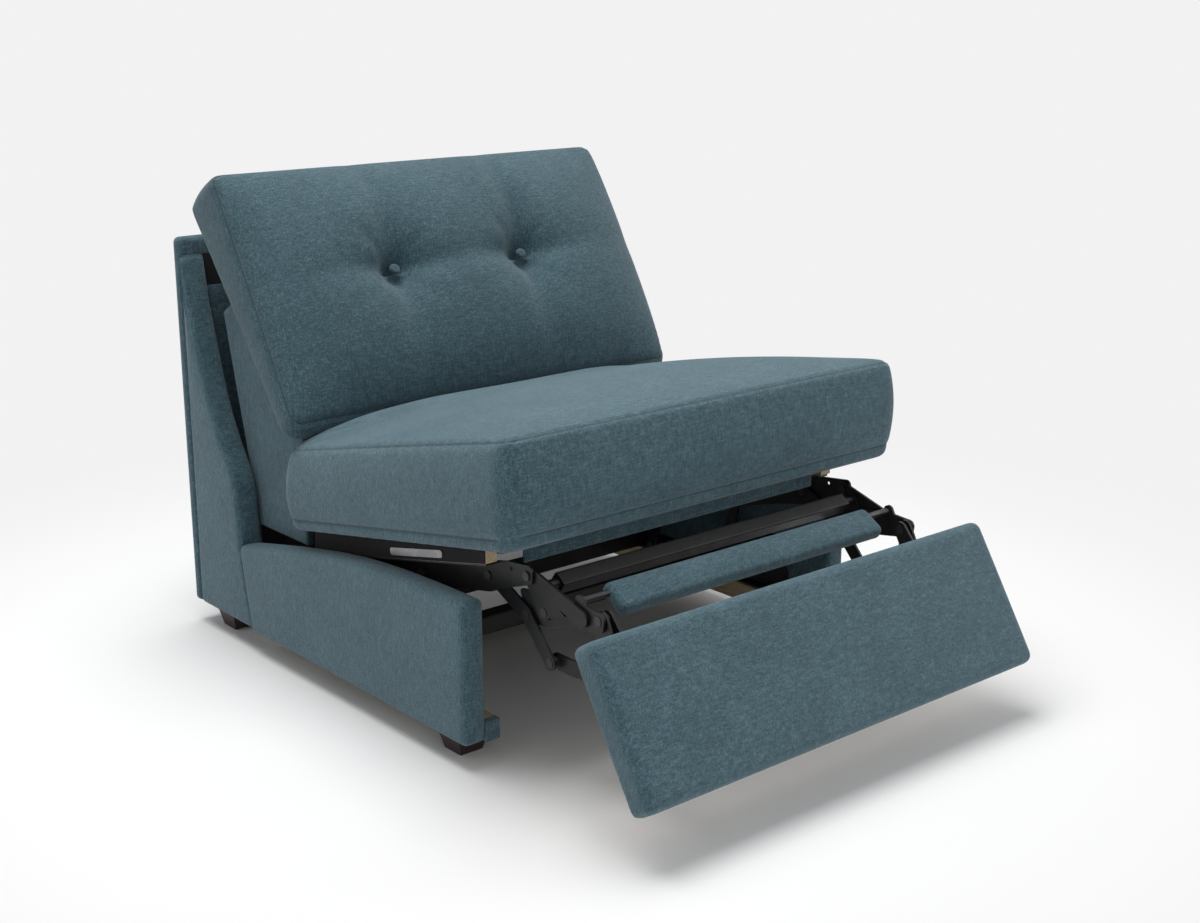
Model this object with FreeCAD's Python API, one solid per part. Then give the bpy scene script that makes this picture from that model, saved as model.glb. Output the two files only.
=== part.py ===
import FreeCAD, Part
import math
import os
from FreeCAD import Vector

# Armless recliner, stored with its footrest part-way out and its back part-way down.
# Millimetres, Z up, front towards -Y, origin on the floor under the middle of the chair.
os.makedirs("parts", exist_ok=True)

# Overall and fixed outer body
overall_width = 800.0
half_width = overall_width / 2
floor_gap = 38.5
rail_thickness = 28.0
board_thickness = 12.0
rail_front_y = -215.0
rail_height = 220.5
rail_slope_start_y = 44.0
rail_rear_height = 140.0
edge_radius = 9.0
cleat_width = 23.0
cleat_height = 31.5
wing_thickness = 44.0
wing_inset = 4.0
wing_front_y = 397.0
wing_waist_y = 427.0
wing_waist_z = 182.0
wing_top_z = 655.0
shell_rear_y = 609.0
shell_thickness = 28.0
shell_height = 646.0
shell_bulge = 6.0
lining_thickness = 3.0
foot_size = 58.0
foot_taper = 9.0
foot_inset_x = 30.0
foot_front_y = -170.0
foot_rear_y = 500.0

# Steel base and recline links
plate_thickness = 4.0
base_plate_front_y = -125.0
base_plate_rear_y = 262.0
tube_size = 30.0
tube_wall = 2.0
front_tube_y = -80.0
front_tube_z = 137.0
rear_tube_y = 228.0
link_length = 130.0
link_lean = 15.0
link_half_width = 12.0
front_link_seat_pivot = (-25.0, 240.0)
rear_link_seat_pivot = (165.0, 209.0)

# Distances of the steel plates' outer faces from the middle plane
seat_plate_x = half_width - 70.0
outer_link_x = seat_plate_x - 4.5
layer_pitch = 5.5
upper_link_x = outer_link_x - layer_pitch
bracket_x = upper_link_x - layer_pitch
lower_link_x = bracket_x - layer_pitch
mount_x = lower_link_x - layer_pitch
recline_link_x = seat_plate_x + 6.0
pivot_radius = 4.0
running_gap = 0.05
seat_gap = 0.2
face_gap = 0.25
rivet_head_radius = 7.0
rivet_head_height = 2.4
flush_head_height = 0.9

# Footrest linkage pivots, as stored, in side view (Y, Z)
pivot_a = (-185.0, 278.5)
pivot_b = (-274.0, 301.0)
pivot_k = (-266.0, 240.5)
pivot_f = (-305.0, 254.5)
pivot_c = (-318.0, 183.5)
pivot_d = (-415.0, 272.0)
pivot_e = (-435.0, 180.0)
# Turns of the links from the stored place to closed, in degrees
rear_link_turn = 37.5
upper_link_turn = -51.2
front_link_turn = 61.5
lower_link_turn = -80.3
bracket_turn = 31.8
link_end_radius = 12.0
slot_gap = 0.6
slot_depth = 2.8
lower_link_joggle = 4.0
crank_arm_end = (-386.0, 268.0)
drive_tube_centre = (-298.0, 289.0)
drive_tube_size = 24.0
drive_tube_half_length = half_width - 108.0
drive_tube_tilt = 37.0
drive_stub_radius = 8.0

# Footrest panel
panel_height = 233.0
panel_pad_thickness = 33.0
panel_board_thickness = 12.0
panel_centre = (-552.9, 189.0)
panel_radius = 14.0

# Narrow pad between seat and footrest
pad_length = overall_width - 262.0
pad_width = 52.0
pad_thickness = 24.0
pad_centre = (-384.0, 282.0)
pad_tilt = 31.0
pad_radius = 9.0
pad_rod_offset = 8.0
pad_rod_radius = 5.0

# Seat frame and cushion
seat_pitch = 10.5
cushion_half_width = half_width - 16.0
cushion_rear_y = 263.0
cushion_front_y = -310.0
cushion_bottom_rear_z = 256.0
cushion_rear_height = 131.0
cushion_front_height = 155.0
cushion_crown = 26.0
cushion_side_bulge = 9.0
frame_board_thickness = 26.0
front_rail_front_y = -218.0
front_rail_rear_y = -150.0
rear_board_front_y = 170.0
rear_board_rear_y = 246.0
side_rail_outer_x = half_width - 44.0
side_rail_thickness = 20.0
side_rail_low_z = 261.0
side_rail_low_slope = 0.2215
seat_plate_flange = 3.0

# Back
back_lean = 36.0
back_hinge = (285.0, 352.0)
back_cushion_foot = (268.0, 402.0)
back_cushion_height = 432.0
back_cushion_half_width = half_width - 8.0
back_cushion_top_depth = 104.0
back_cushion_foot_depth = 46.0
back_cushion_crown = 62.0
tuft_depth = 34.0
tuft_offset_x = 133.0
tuft_height = 236.0
button_radius = 13.0
back_frame_height = 275.0
back_frame_rear_top = (530.0, 560.0)
back_frame_rear_low = (385.0, 205.0)
back_frame_front_y = 288.0
back_frame_thickness = 14.0
back_frame_half_width = seat_plate_x + 16.5
back_rail_height = 60.0
back_rail_depth = 22.0
back_frame_gap = 0.4

pitch_slope = math.tan(math.radians(seat_pitch))


def turned(point, centre, degrees):
    angle = math.radians(degrees)
    dy = point[0] - centre[0]
    dz = point[1] - centre[1]
    y = centre[0] + dy * math.cos(angle) - dz * math.sin(angle)
    z = centre[1] + dy * math.sin(angle) + dz * math.cos(angle)
    return (y, z)


def shifted(point, dy, dz):
    return (point[0] + dy, point[1] + dz)


def distance(p, q):
    return math.hypot(q[0] - p[0], q[1] - p[1])


def along(p, q, length):
    share = length / distance(p, q)
    return (p[0] + (q[0] - p[0]) * share, p[1] + (q[1] - p[1]) * share)


def at(x, point):
    return Vector(x, point[0], point[1])


# Closed outline in side view from corners (y, z, radius), each corner rounded by a tangent arc
def outline(x, corners):
    edges = []
    last = None
    first = None
    count = len(corners)
    for i in range(count):
        here = corners[i]
        before = corners[i - 1]
        after = corners[(i + 1) % count]
        corner = (here[0], here[1])
        if here[2] <= 0:
            start = corner
            end = corner
        else:
            one = (before[0] - here[0], before[1] - here[1])
            two = (after[0] - here[0], after[1] - here[1])
            len_one = math.hypot(one[0], one[1])
            len_two = math.hypot(two[0], two[1])
            cosine = (one[0] * two[0] + one[1] * two[1]) / (len_one * len_two)
            half = math.acos(max(-1.0, min(1.0, cosine))) / 2
            reach = here[2] / math.tan(half)
            start = (here[0] + one[0] / len_one * reach, here[1] + one[1] / len_one * reach)
            end = (here[0] + two[0] / len_two * reach, here[1] + two[1] / len_two * reach)
            bisector = (one[0] / len_one + two[0] / len_two, one[1] / len_one + two[1] / len_two)
            size = math.hypot(bisector[0], bisector[1])
            sagitta = here[2] / math.sin(half) - here[2]
            middle = (here[0] + bisector[0] / size * sagitta, here[1] + bisector[1] / size * sagitta)
        if last is None:
            first = start
        elif distance(last, start) > 1e-6:
            edges.append(Part.makeLine(at(x, last), at(x, start)))
        if here[2] > 0:
            edges.append(Part.Arc(at(x, start), at(x, middle), at(x, end)).toShape())
        last = end
    if distance(last, first) > 1e-6:
        edges.append(Part.makeLine(at(x, last), at(x, first)))
    return Part.Wire(edges)


def slab(corners, x_low, x_high):
    face = Part.Face(outline(x_low, corners))
    return face.extrude(Vector(x_high - x_low, 0, 0))


def rod(point, x_low, x_high, radius):
    return Part.makeCylinder(radius, x_high - x_low, at(x_low, point), Vector(1, 0, 0))


# Flat bar between two round ends, as the outer tangents of two circles
def bar(p, q, radius_p, radius_q, x_low, x_high):
    run = distance(p, q)
    direction = math.atan2(q[1] - p[1], q[0] - p[0])
    lean = math.acos((radius_p - radius_q) / run)
    corners = []
    touches = ((p, radius_p, lean), (q, radius_q, lean), (q, radius_q, -lean), (p, radius_p, -lean))
    for centre, radius, turn in touches:
        angle = direction + turn
        corners.append((centre[0] + radius * math.cos(angle), centre[1] + radius * math.sin(angle)))
    tip = along(q, p, -radius_q)
    tail = along(p, q, -radius_p)
    edges = [
        Part.makeLine(at(x_low, corners[0]), at(x_low, corners[1])),
        Part.Arc(at(x_low, corners[1]), at(x_low, tip), at(x_low, corners[2])).toShape(),
        Part.makeLine(at(x_low, corners[2]), at(x_low, corners[3])),
        Part.Arc(at(x_low, corners[3]), at(x_low, tail), at(x_low, corners[0])).toShape(),
    ]
    return Part.Face(Part.Wire(edges)).extrude(Vector(x_high - x_low, 0, 0))


def joined(shapes):
    whole = shapes[0].multiFuse(shapes[1:])
    return whole.removeSplitter()


def drilled(shape, points, radius):
    for point in points:
        box = shape.BoundBox
        shape = shape.cut(rod(point, box.XMin - 1, box.XMax + 1, radius))
    return shape


def mirrored(shape):
    return shape.mirror(Vector(0, 0, 0), Vector(1, 0, 0))


def export(name, shape):
    solids = shape.Solids
    print(name, len(solids), "solids", round(shape.Volume / 1000.0, 1), "cm3", shape.isValid())
    shape.exportStep("parts/" + name + ".step")


# Writes the right-hand piece and its mirror image
def export_pair(name, shape):
    export("right_" + name, shape)
    export("left_" + name, mirrored(shape))


def export_group(name, shapes):
    export(name, Part.makeCompound(shapes))


def both_sides(shapes):
    return shapes + [mirrored(shape) for shape in shapes]


# Pivot rivet standing in one plate and carrying the next one inboard of it
def rivet(point, x_outer, x_inner, outer_head, inner_head, spacer_from=None, spacer_to=None):
    far_face = x_inner - face_gap
    parts = [rod(point, far_face - inner_head, x_outer + outer_head, pivot_radius)]
    parts.append(rod(point, x_outer, x_outer + outer_head, rivet_head_radius))
    parts.append(rod(point, far_face - inner_head, far_face, rivet_head_radius))
    if spacer_from is not None:
        parts.append(rod(point, spacer_to + face_gap, spacer_from, rivet_head_radius + 1))
    return joined(parts)


# Place of a point of one link, seen in the frame of another, while the footrest closes by share
def rear_link_place(point, share):
    return turned(point, pivot_a, rear_link_turn * share)


def upper_link_place(point, share):
    knee = rear_link_place(pivot_k, share)
    moved = shifted(point, knee[0] - pivot_k[0], knee[1] - pivot_k[1])
    return turned(moved, knee, upper_link_turn * share)


def lower_link_place(point, share):
    knuckle = rear_link_place(pivot_c, share)
    moved = shifted(point, knuckle[0] - pivot_c[0], knuckle[1] - pivot_c[1])
    return turned(moved, knuckle, lower_link_turn * share)


def front_link_place(point, share):
    return turned(point, pivot_b, front_link_turn * share)


def in_upper_link(point, share):
    knee = rear_link_place(pivot_k, share)
    back = turned(point, knee, -upper_link_turn * share)
    return shifted(back, pivot_k[0] - knee[0], pivot_k[1] - knee[1])


def in_bracket(point, share):
    hinge = upper_link_place(pivot_d, share)
    back = turned(point, hinge, -bracket_turn * share)
    return shifted(back, pivot_d[0] - hinge[0], pivot_d[1] - hinge[1])


# Curved slot that a pin of another link runs along
def cam_slot(path, x_low, x_high):
    radius = pivot_radius + slot_gap
    pieces = [bar(path[i], path[i + 1], radius, radius, x_low, x_high) for i in range(len(path) - 1)]
    return joined(pieces)


slot_steps = 8
slot_shares = [i / slot_steps for i in range(slot_steps + 1)]
upper_slot_path = [in_upper_link(front_link_place(pivot_f, share), share) for share in slot_shares]
bracket_slot_path = [in_bracket(lower_link_place(pivot_e, share), share) for share in slot_shares]


# Height of the seat cushion's underside at a depth
def seat_bottom(y):
    return cushion_bottom_rear_z + (cushion_rear_y - y) * pitch_slope


# Depth of the wing's front edge at a height near the floor
def wing_front(z):
    return wing_front_y + (wing_waist_y - wing_front_y) * (z - floor_gap) / (wing_waist_z - floor_gap)


# Side view of the rail, drawn in by inset and ending just short of the wing
def rail_outline(inset):
    low = floor_gap + inset
    top = floor_gap + rail_height - inset
    rear_top = floor_gap + rail_rear_height - inset
    return [
        (rail_front_y + inset, low, 8.0),
        (rail_front_y + inset, top, 14.0),
        (rail_slope_start_y, top, 60.0),
        (wing_front(rear_top) - seat_gap, rear_top, 0.0),
        (wing_front(low) - seat_gap, low, 0.0),
    ]


def make_side_rail():
    inner = half_width - rail_thickness
    body = slab(rail_outline(0.0), inner, half_width)
    outer = [edge for edge in body.Edges if min(v.X for v in edge.Vertexes) > half_width - 0.01]
    return body.makeFillet(edge_radius, outer)


def make_rail_board():
    outer = half_width - rail_thickness
    return slab(rail_outline(5.0), outer - board_thickness, outer)


def make_cleat():
    outer = half_width - rail_thickness - board_thickness
    top = floor_gap + cleat_height
    corners = [
        (rail_front_y, floor_gap, 4.0),
        (rail_front_y, top, 4.0),
        (wing_front_y - seat_gap, top, 2.0),
        (wing_front_y - seat_gap, floor_gap, 2.0),
    ]
    return slab(corners, outer - cleat_width, outer)


def make_wing():
    outer = half_width - wing_inset
    inner = outer - wing_thickness
    rear = shell_rear_y - shell_thickness
    corners = [
        (wing_front_y, floor_gap, 0.0),
        (wing_waist_y, wing_waist_z, 20.0),
        (wing_waist_y + 4, 289.0, 50.0),
        (wing_waist_y + 51, 348.0, 80.0),
        (rear - 24, wing_top_z - 90, 200.0),
        (rear, wing_top_z, 0.0),
        (rear, floor_gap, 0.0),
    ]
    body = slab(corners, inner, outer)
    front = []
    for edge in body.Edges:
        box = edge.BoundBox
        flat = box.XLength < 0.01
        at_rear = box.YMin > rear - 0.01
        at_floor = box.ZMax < floor_gap + 0.01
        if flat and not at_rear and not at_floor:
            front.append(edge)
    return body.makeFillet(edge_radius, front)


# Rear shell: upright slab with a bowed rear face and rounded outer edges
def make_shell_back():
    half = half_width - wing_inset
    front = shell_rear_y - shell_thickness
    side = shell_rear_y - shell_bulge
    low = floor_gap
    edges = [
        Part.makeLine(Vector(-half, side, low), Vector(-half, front, low)),
        Part.makeLine(Vector(-half, front, low), Vector(half, front, low)),
        Part.makeLine(Vector(half, front, low), Vector(half, side, low)),
        Part.Arc(Vector(half, side, low), Vector(0, shell_rear_y, low), Vector(-half, side, low)).toShape(),
    ]
    body = Part.Face(Part.Wire(edges)).extrude(Vector(0, 0, shell_height))
    rim = []
    for edge in body.Edges:
        box = edge.BoundBox
        at_top = box.ZMin > low + shell_height - 0.01
        rear_corner = box.ZLength > 1 and box.YMin > front + 1
        if at_top or rear_corner:
            rim.append(edge)
    return body.makeFillet(edge_radius, rim)


def make_lining():
    front = shell_rear_y - shell_thickness - lining_thickness
    half = half_width - wing_inset - wing_thickness - 1.0
    return Part.makeBox(2 * half, lining_thickness, shell_height - 60, Vector(-half, front, floor_gap + 30))


# Tapered foot under the rail or wing
def make_foot(y_front):
    top = foot_size / 2
    low = top - foot_taper
    centre_x = half_width - foot_inset_x - top + 8
    centre_y = y_front + top
    wires = []
    for z, half in ((0.0, low), (floor_gap, top)):
        signs = ((-1, -1), (1, -1), (1, 1), (-1, 1))
        corners = [Vector(centre_x + a * half, centre_y + b * half, z) for a, b in signs]
        wires.append(Part.makePolygon(corners + [corners[0]]))
    return Part.makeLoft(wires, True, True)


def base_pivot(seat_pivot):
    lean = math.radians(link_lean)
    return shifted(seat_pivot, link_length * math.sin(lean), -link_length * math.cos(lean))


front_base_pivot = base_pivot(front_link_seat_pivot)
rear_base_pivot = base_pivot(rear_link_seat_pivot)


# Steel side plate of the base standing on the cleat, tall at the front tube and the link pivots
def make_base_plate():
    outer = half_width - rail_thickness - board_thickness
    low = floor_gap + cleat_height
    tube_top = front_tube_z + tube_size
    corners = [
        (base_plate_front_y, low, 3.0),
        (base_plate_front_y, low + 40, 12.0),
        (front_tube_y - 12, tube_top + 5, 12.0),
        (front_tube_y + tube_size + 14, tube_top + 5, 12.0),
        (front_base_pivot[0] + 18, front_base_pivot[1] + 18, 16.0),
        (rear_base_pivot[0] - 40, rear_base_pivot[1] + 16, 16.0),
        (rear_base_pivot[0] + 18, rear_base_pivot[1] + 16, 14.0),
        (base_plate_rear_y, low + 34, 10.0),
        (base_plate_rear_y, low, 3.0),
    ]
    plate = slab(corners, outer - plate_thickness, outer)
    length = base_plate_rear_y - base_plate_front_y - 8
    flange = Part.makeBox(18.0, length, plate_thickness, Vector(outer - 18.0, base_plate_front_y + 4, low))
    plate = joined([plate, flange])
    return drilled(plate, [front_base_pivot, rear_base_pivot], pivot_radius)


def make_cross_tube(y, z):
    outer = half_width - rail_thickness - board_thickness - plate_thickness
    box = Part.makeBox(2 * outer, tube_size, tube_size, Vector(-outer, y, z))
    lengthwise = [edge for edge in box.Edges if abs(edge.Vertexes[0].X - edge.Vertexes[1].X) > 1]
    box = box.makeFillet(4.0, lengthwise)
    inside = tube_size - 2 * tube_wall
    hollow = Part.makeBox(2 * outer + 2, inside, inside, Vector(-outer - 1, y + tube_wall, z + tube_wall))
    return box.cut(hollow)


def make_recline_link(seat_pivot):
    foot = base_pivot(seat_pivot)
    low = recline_link_x - plate_thickness
    body = bar(foot, seat_pivot, link_half_width, link_half_width - 3, low, recline_link_x)
    return drilled(body, [foot, seat_pivot], pivot_radius + running_gap)


# Pins of the base, long enough to carry the links clear of the rails
def make_base_pins():
    outer = half_width - rail_thickness - board_thickness
    inner = recline_link_x - plate_thickness - face_gap
    pins = []
    for point in (front_base_pivot, rear_base_pivot):
        shank = rod(point, inner - rivet_head_height, outer, pivot_radius)
        shoulder = rod(point, recline_link_x + face_gap, outer - plate_thickness, 9.0)
        head = rod(point, inner - rivet_head_height, inner, rivet_head_radius)
        pins.append(joined([shank, shoulder, head]))
    return both_sides(pins)


# Underside of the wooden seat rail at a depth
def rail_low(y):
    return side_rail_low_z - side_rail_low_slope * y


# Seat mounting plate: tall pitched web with a flange turned outwards under the seat rail
def make_seat_plate():
    low = seat_plate_x - seat_plate_flange
    corners = [
        (pivot_b[0] - 12, pivot_b[1] + 17, 9.0),
        (pivot_b[0] - 12, pivot_b[1] - 9, 8.0),
        (-226.0, 270.0, 10.0),
        (-190.0, 255.0, 8.0),
        (-127.0, 242.0, 20.0),
        (-37.0, 216.0, 30.0),
        (60.0, 212.0, 60.0),
        (rear_link_seat_pivot[0] - 8, rear_link_seat_pivot[1] - 15, 14.0),
        (rear_link_seat_pivot[0] + 15, rear_link_seat_pivot[1] - 14, 12.0),
        (rear_board_rear_y, rail_low(rear_board_rear_y) - 26, 8.0),
        (rear_board_rear_y, rail_low(rear_board_rear_y) - seat_gap, 0.0),
        (front_rail_front_y - 10, rail_low(front_rail_front_y - 10) - seat_gap, 10.0),
    ]
    web = slab(corners, low, seat_plate_x)
    flange_front = front_rail_front_y + 6
    flange_corners = [
        (flange_front, rail_low(flange_front) - seat_gap, 0.0),
        (flange_front, rail_low(flange_front) - seat_gap - seat_plate_flange, 0.0),
        (rear_board_rear_y, rail_low(rear_board_rear_y) - seat_gap - seat_plate_flange, 0.0),
        (rear_board_rear_y, rail_low(rear_board_rear_y) - seat_gap, 0.0),
    ]
    flange = slab(flange_corners, low, side_rail_outer_x - 2)
    whole = joined([web, flange])
    whole = drilled(whole, [pivot_a, pivot_b, front_link_seat_pivot, rear_link_seat_pivot], pivot_radius)
    return drilled(whole, [(-239.0, 303.0)], 3.0)


# Pins of the seat: two for the footrest links, two for the recline links
def make_seat_pins():
    low = seat_plate_x - seat_plate_flange
    link_low = outer_link_x - plate_thickness
    pins = [rivet(pivot_a, seat_plate_x, link_low, rivet_head_height, flush_head_height)]
    pins.append(rivet(pivot_b, seat_plate_x, link_low, rivet_head_height, flush_head_height))
    for point in (front_link_seat_pivot, rear_link_seat_pivot):
        outer = recline_link_x + face_gap
        shank = rod(point, low - flush_head_height, outer + rivet_head_height, pivot_radius)
        head = rod(point, outer, outer + rivet_head_height, rivet_head_radius)
        far = rod(point, low - flush_head_height, low, rivet_head_radius)
        spacer = rod(point, seat_plate_x, recline_link_x - plate_thickness - face_gap, rivet_head_radius)
        pins.append(joined([shank, head, far, spacer]))
    return both_sides(pins)


# Rear ottoman link: from the seat plate past the crossing to the lower joint
def make_rear_ottoman_link():
    low = outer_link_x - plate_thickness
    upper = bar(pivot_a, pivot_k, link_end_radius, link_end_radius + 0.5, low, outer_link_x)
    lower = bar(pivot_k, pivot_c, link_end_radius, link_end_radius - 1, low, outer_link_x)
    body = joined([upper, lower])
    body = drilled(body, [pivot_a], pivot_radius + running_gap)
    return drilled(body, [pivot_k, pivot_c], pivot_radius)


def make_rear_ottoman_pins():
    low = outer_link_x - plate_thickness
    inner_face = upper_link_x - plate_thickness
    crossing = rivet(pivot_k, outer_link_x, inner_face, flush_head_height, flush_head_height)
    knuckle_x = lower_link_x + lower_link_joggle
    knuckle = rivet(
        pivot_c,
        outer_link_x,
        knuckle_x - plate_thickness,
        flush_head_height,
        flush_head_height,
        low,
        knuckle_x,
    )
    return both_sides([crossing, knuckle])


# Upper ottoman link: pointed tail above the crossing, deep middle and a neck to the bracket
def make_upper_ottoman_link():
    low = upper_link_x - plate_thickness
    corners = [
        (pivot_k[0] + 21, pivot_k[1] + 33, 4.0),
        (pivot_k[0] + 6, pivot_k[1] - 13, 10.0),
        (pivot_k[0] - 40, pivot_k[1] - 8, 14.0),
        (pivot_k[0] - 96, pivot_k[1] + 6, 20.0),
        (pivot_d[0] - 10, pivot_d[1] - 15, 10.0),
        (pivot_d[0] - 14, pivot_d[1] + 12, 10.0),
        (pivot_d[0] + 30, pivot_d[1] + 15, 20.0),
        (pivot_k[0] - 50, pivot_k[1] + 40, 20.0),
    ]
    plate = slab(corners, low, upper_link_x)
    ear_foot = shifted(drive_tube_centre, -8.0, -24.0)
    ear = bar(ear_foot, drive_tube_centre, 14.0, drive_stub_radius + 2, low, upper_link_x)
    rod_centre = pad_rod_centre()
    lobe = bar(shifted(rod_centre, -4.0, -18.0), rod_centre, 14.0, pad_rod_radius + 4, low, upper_link_x)
    body = joined([plate, ear, lobe])
    body = drilled(body, [pivot_k], pivot_radius + running_gap)
    body = drilled(body, [pivot_d], pivot_radius)
    return body.cut(cam_slot(upper_slot_path, upper_link_x - slot_depth, upper_link_x + 1))


def make_upper_ottoman_pins():
    low = upper_link_x - plate_thickness
    ankle = rivet(
        pivot_d, upper_link_x, mount_x - plate_thickness, flush_head_height, flush_head_height, low, bracket_x
    )
    spacer = rod(pivot_d, mount_x + face_gap, bracket_x - plate_thickness - face_gap, rivet_head_radius)
    return both_sides([joined([ankle, spacer])])


# Front ottoman link: bell crank from the seat's front corner, with its pin riding the upper link
def make_front_ottoman_link():
    low = outer_link_x - plate_thickness
    lobe = bar(pivot_b, pivot_f, link_end_radius + 1, link_end_radius, low, outer_link_x)
    arm = bar(pivot_b, crank_arm_end, link_end_radius + 1, link_end_radius, low, outer_link_x)
    fork = shifted(crank_arm_end, 34.0, -6.0)
    heel = shifted(pivot_f, -4.0, -8.0)
    web_corners = [(pivot_b[0], pivot_b[1], 0.0), (heel[0], heel[1], 6.0), (fork[0], fork[1], 0.0)]
    web = slab(web_corners, low, outer_link_x)
    body = joined([lobe, arm, web])
    body = drilled(body, [pivot_b], pivot_radius + running_gap)
    return drilled(body, [pivot_f], pivot_radius)


def make_front_ottoman_pins():
    end = upper_link_x - slot_depth + face_gap
    shank = rod(pivot_f, end, outer_link_x, pivot_radius)
    head = rod(pivot_f, outer_link_x, outer_link_x + flush_head_height, rivet_head_radius)
    return both_sides([joined([shank, head])])


# Square tube that ties the two sides' upper ottoman links, turned on edge
def make_drive_tube():
    half = drive_tube_size / 2
    length = 2 * drive_tube_half_length
    corner = Vector(-drive_tube_half_length, -half, -half)
    box = Part.makeBox(length, drive_tube_size, drive_tube_size, corner)
    lengthwise = [edge for edge in box.Edges if abs(edge.Vertexes[0].X - edge.Vertexes[1].X) > 1]
    box = box.makeFillet(3.0, lengthwise)
    inside = half - tube_wall
    inner_corner = Vector(-drive_tube_half_length - 1, -inside, -inside)
    hollow = Part.makeBox(length + 2, 2 * inside, 2 * inside, inner_corner)
    tube = box.cut(hollow)
    tube.rotate(Vector(0, 0, 0), Vector(1, 0, 0), drive_tube_tilt)
    tube.translate(Vector(0, drive_tube_centre[0], drive_tube_centre[1]))
    return tube


# Plug and round stub that carry the tube's end on the upper link
def make_drive_tube_ends():
    inner = upper_link_x - plate_thickness
    half = drive_tube_size / 2
    cap = Part.makeBox(3.0, drive_tube_size, drive_tube_size, Vector(0, -half, -half))
    lengthwise = [edge for edge in cap.Edges if abs(edge.Vertexes[0].X - edge.Vertexes[1].X) > 1]
    cap = cap.makeFillet(3.0, lengthwise)
    cap.rotate(Vector(0, 0, 0), Vector(1, 0, 0), drive_tube_tilt)
    cap.translate(Vector(drive_tube_half_length, drive_tube_centre[0], drive_tube_centre[1]))
    stub = rod(drive_tube_centre, drive_tube_half_length, inner, drive_stub_radius)
    return both_sides([joined([cap, stub])])


# Middle of the rod that carries the narrow pad, a little above the pad's own middle
def pad_rod_centre():
    return shifted(pad_centre, pad_rod_offset, pad_rod_offset)


# Narrow pad: rounded upholstered bar across the linkage
def make_mid_pad():
    corner = Vector(-pad_length / 2, -pad_width / 2, -pad_thickness / 2)
    box = Part.makeBox(pad_length, pad_width, pad_thickness, corner)
    box = box.makeFillet(pad_radius, box.Edges)
    box.rotate(Vector(0, 0, 0), Vector(1, 0, 0), pad_tilt)
    box.translate(Vector(0, pad_centre[0], pad_centre[1]))
    for sign in (-1, 1):
        end = sign * pad_length / 2
        start = sign * (pad_length / 2 - 60)
        bore = rod(pad_rod_centre(), min(start, end), max(start, end), pad_rod_radius + 0.02)
        box = box.cut(bore)
    return box


# Rods that carry the narrow pad, from bores in the pad to the upper link
def make_pad_rods():
    shank = rod(pad_rod_centre(), pad_length / 2 - 60, upper_link_x - plate_thickness, pad_rod_radius)
    return both_sides([shank])


# Lower ottoman link with its joggle between the two planes
def make_lower_ottoman_link():
    low = lower_link_x - plate_thickness
    bend_from = along(pivot_c, pivot_e, 34.0)
    bend_to = along(pivot_c, pivot_e, 46.0)
    rear_low = low + lower_link_joggle
    bend = along(pivot_c, pivot_e, 40.0)
    rear = bar(pivot_c, bend, link_end_radius, link_end_radius, rear_low, rear_low + plate_thickness)
    front = bar(bend, pivot_e, link_end_radius, link_end_radius, low, low + plate_thickness)
    side = (-(pivot_e[1] - pivot_c[1]), pivot_e[0] - pivot_c[0])
    norm = math.hypot(side[0], side[1])
    side = (side[0] / norm, side[1] / norm)

    def keep_box(start, end, x_low, x_high):
        reach = 40.0
        corners = [
            (start[0] + side[0] * reach, start[1] + side[1] * reach, 0.0),
            (end[0] + side[0] * reach, end[1] + side[1] * reach, 0.0),
            (end[0] - side[0] * reach, end[1] - side[1] * reach, 0.0),
            (start[0] - side[0] * reach, start[1] - side[1] * reach, 0.0),
        ]
        return slab(corners, x_low, x_high)

    tail = along(pivot_c, pivot_e, -30.0)
    nose = along(pivot_e, pivot_c, -30.0)
    rear = rear.common(keep_box(tail, bend_from, low - 20, low + 20))
    front = front.common(keep_box(bend_to, nose, low - 20, low + 20))
    wires = []
    for point, x_base in ((bend_from, rear_low), (bend_to, low)):
        a = (point[0] + side[0] * link_end_radius, point[1] + side[1] * link_end_radius)
        b = (point[0] - side[0] * link_end_radius, point[1] - side[1] * link_end_radius)
        x_face = x_base + plate_thickness
        ring = [at(x_base, a), at(x_face, a), at(x_face, b), at(x_base, b)]
        wires.append(Part.makePolygon(ring + [ring[0]]))
    bend = Part.makeLoft(wires, True, True)
    body = joined([rear, bend, front])
    body = drilled(body, [pivot_c], pivot_radius + running_gap)
    return drilled(body, [pivot_e], pivot_radius)


# Pin on the lower link's front end, reaching out through the bracket's slot
def make_lower_ottoman_pins():
    low = lower_link_x - plate_thickness
    shank = rod(pivot_e, low - flush_head_height, bracket_x + 0.5, pivot_radius)
    head = rod(pivot_e, low - flush_head_height, low, rivet_head_radius)
    return both_sides([joined([shank, head])])


# Footrest bracket: swings on the upper link and carries the lower link's pin in a curved slot
def make_footrest_bracket():
    low = bracket_x - plate_thickness
    ends = bracket_slot_path[0], bracket_slot_path[-1]
    middle = bracket_slot_path[len(bracket_slot_path) // 2]
    reach = max(distance(point, middle) for point in ends)
    heel = bar(pivot_d, middle, link_end_radius + 1, link_end_radius + reach - 2, low, bracket_x)
    body = drilled(heel, [pivot_d], pivot_radius + running_gap)
    return body.cut(cam_slot(bracket_slot_path, low - 1, bracket_x + 1))


panel_tilt = bracket_turn


# Point of the footrest panel from its depth behind the front face and its height along it
def panel_point(depth, height):
    tilt = math.radians(panel_tilt)
    y = panel_centre[0] + math.sin(tilt) * height + math.cos(tilt) * depth
    z = panel_centre[1] + math.cos(tilt) * height - math.sin(tilt) * depth
    return (y, z)


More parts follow.
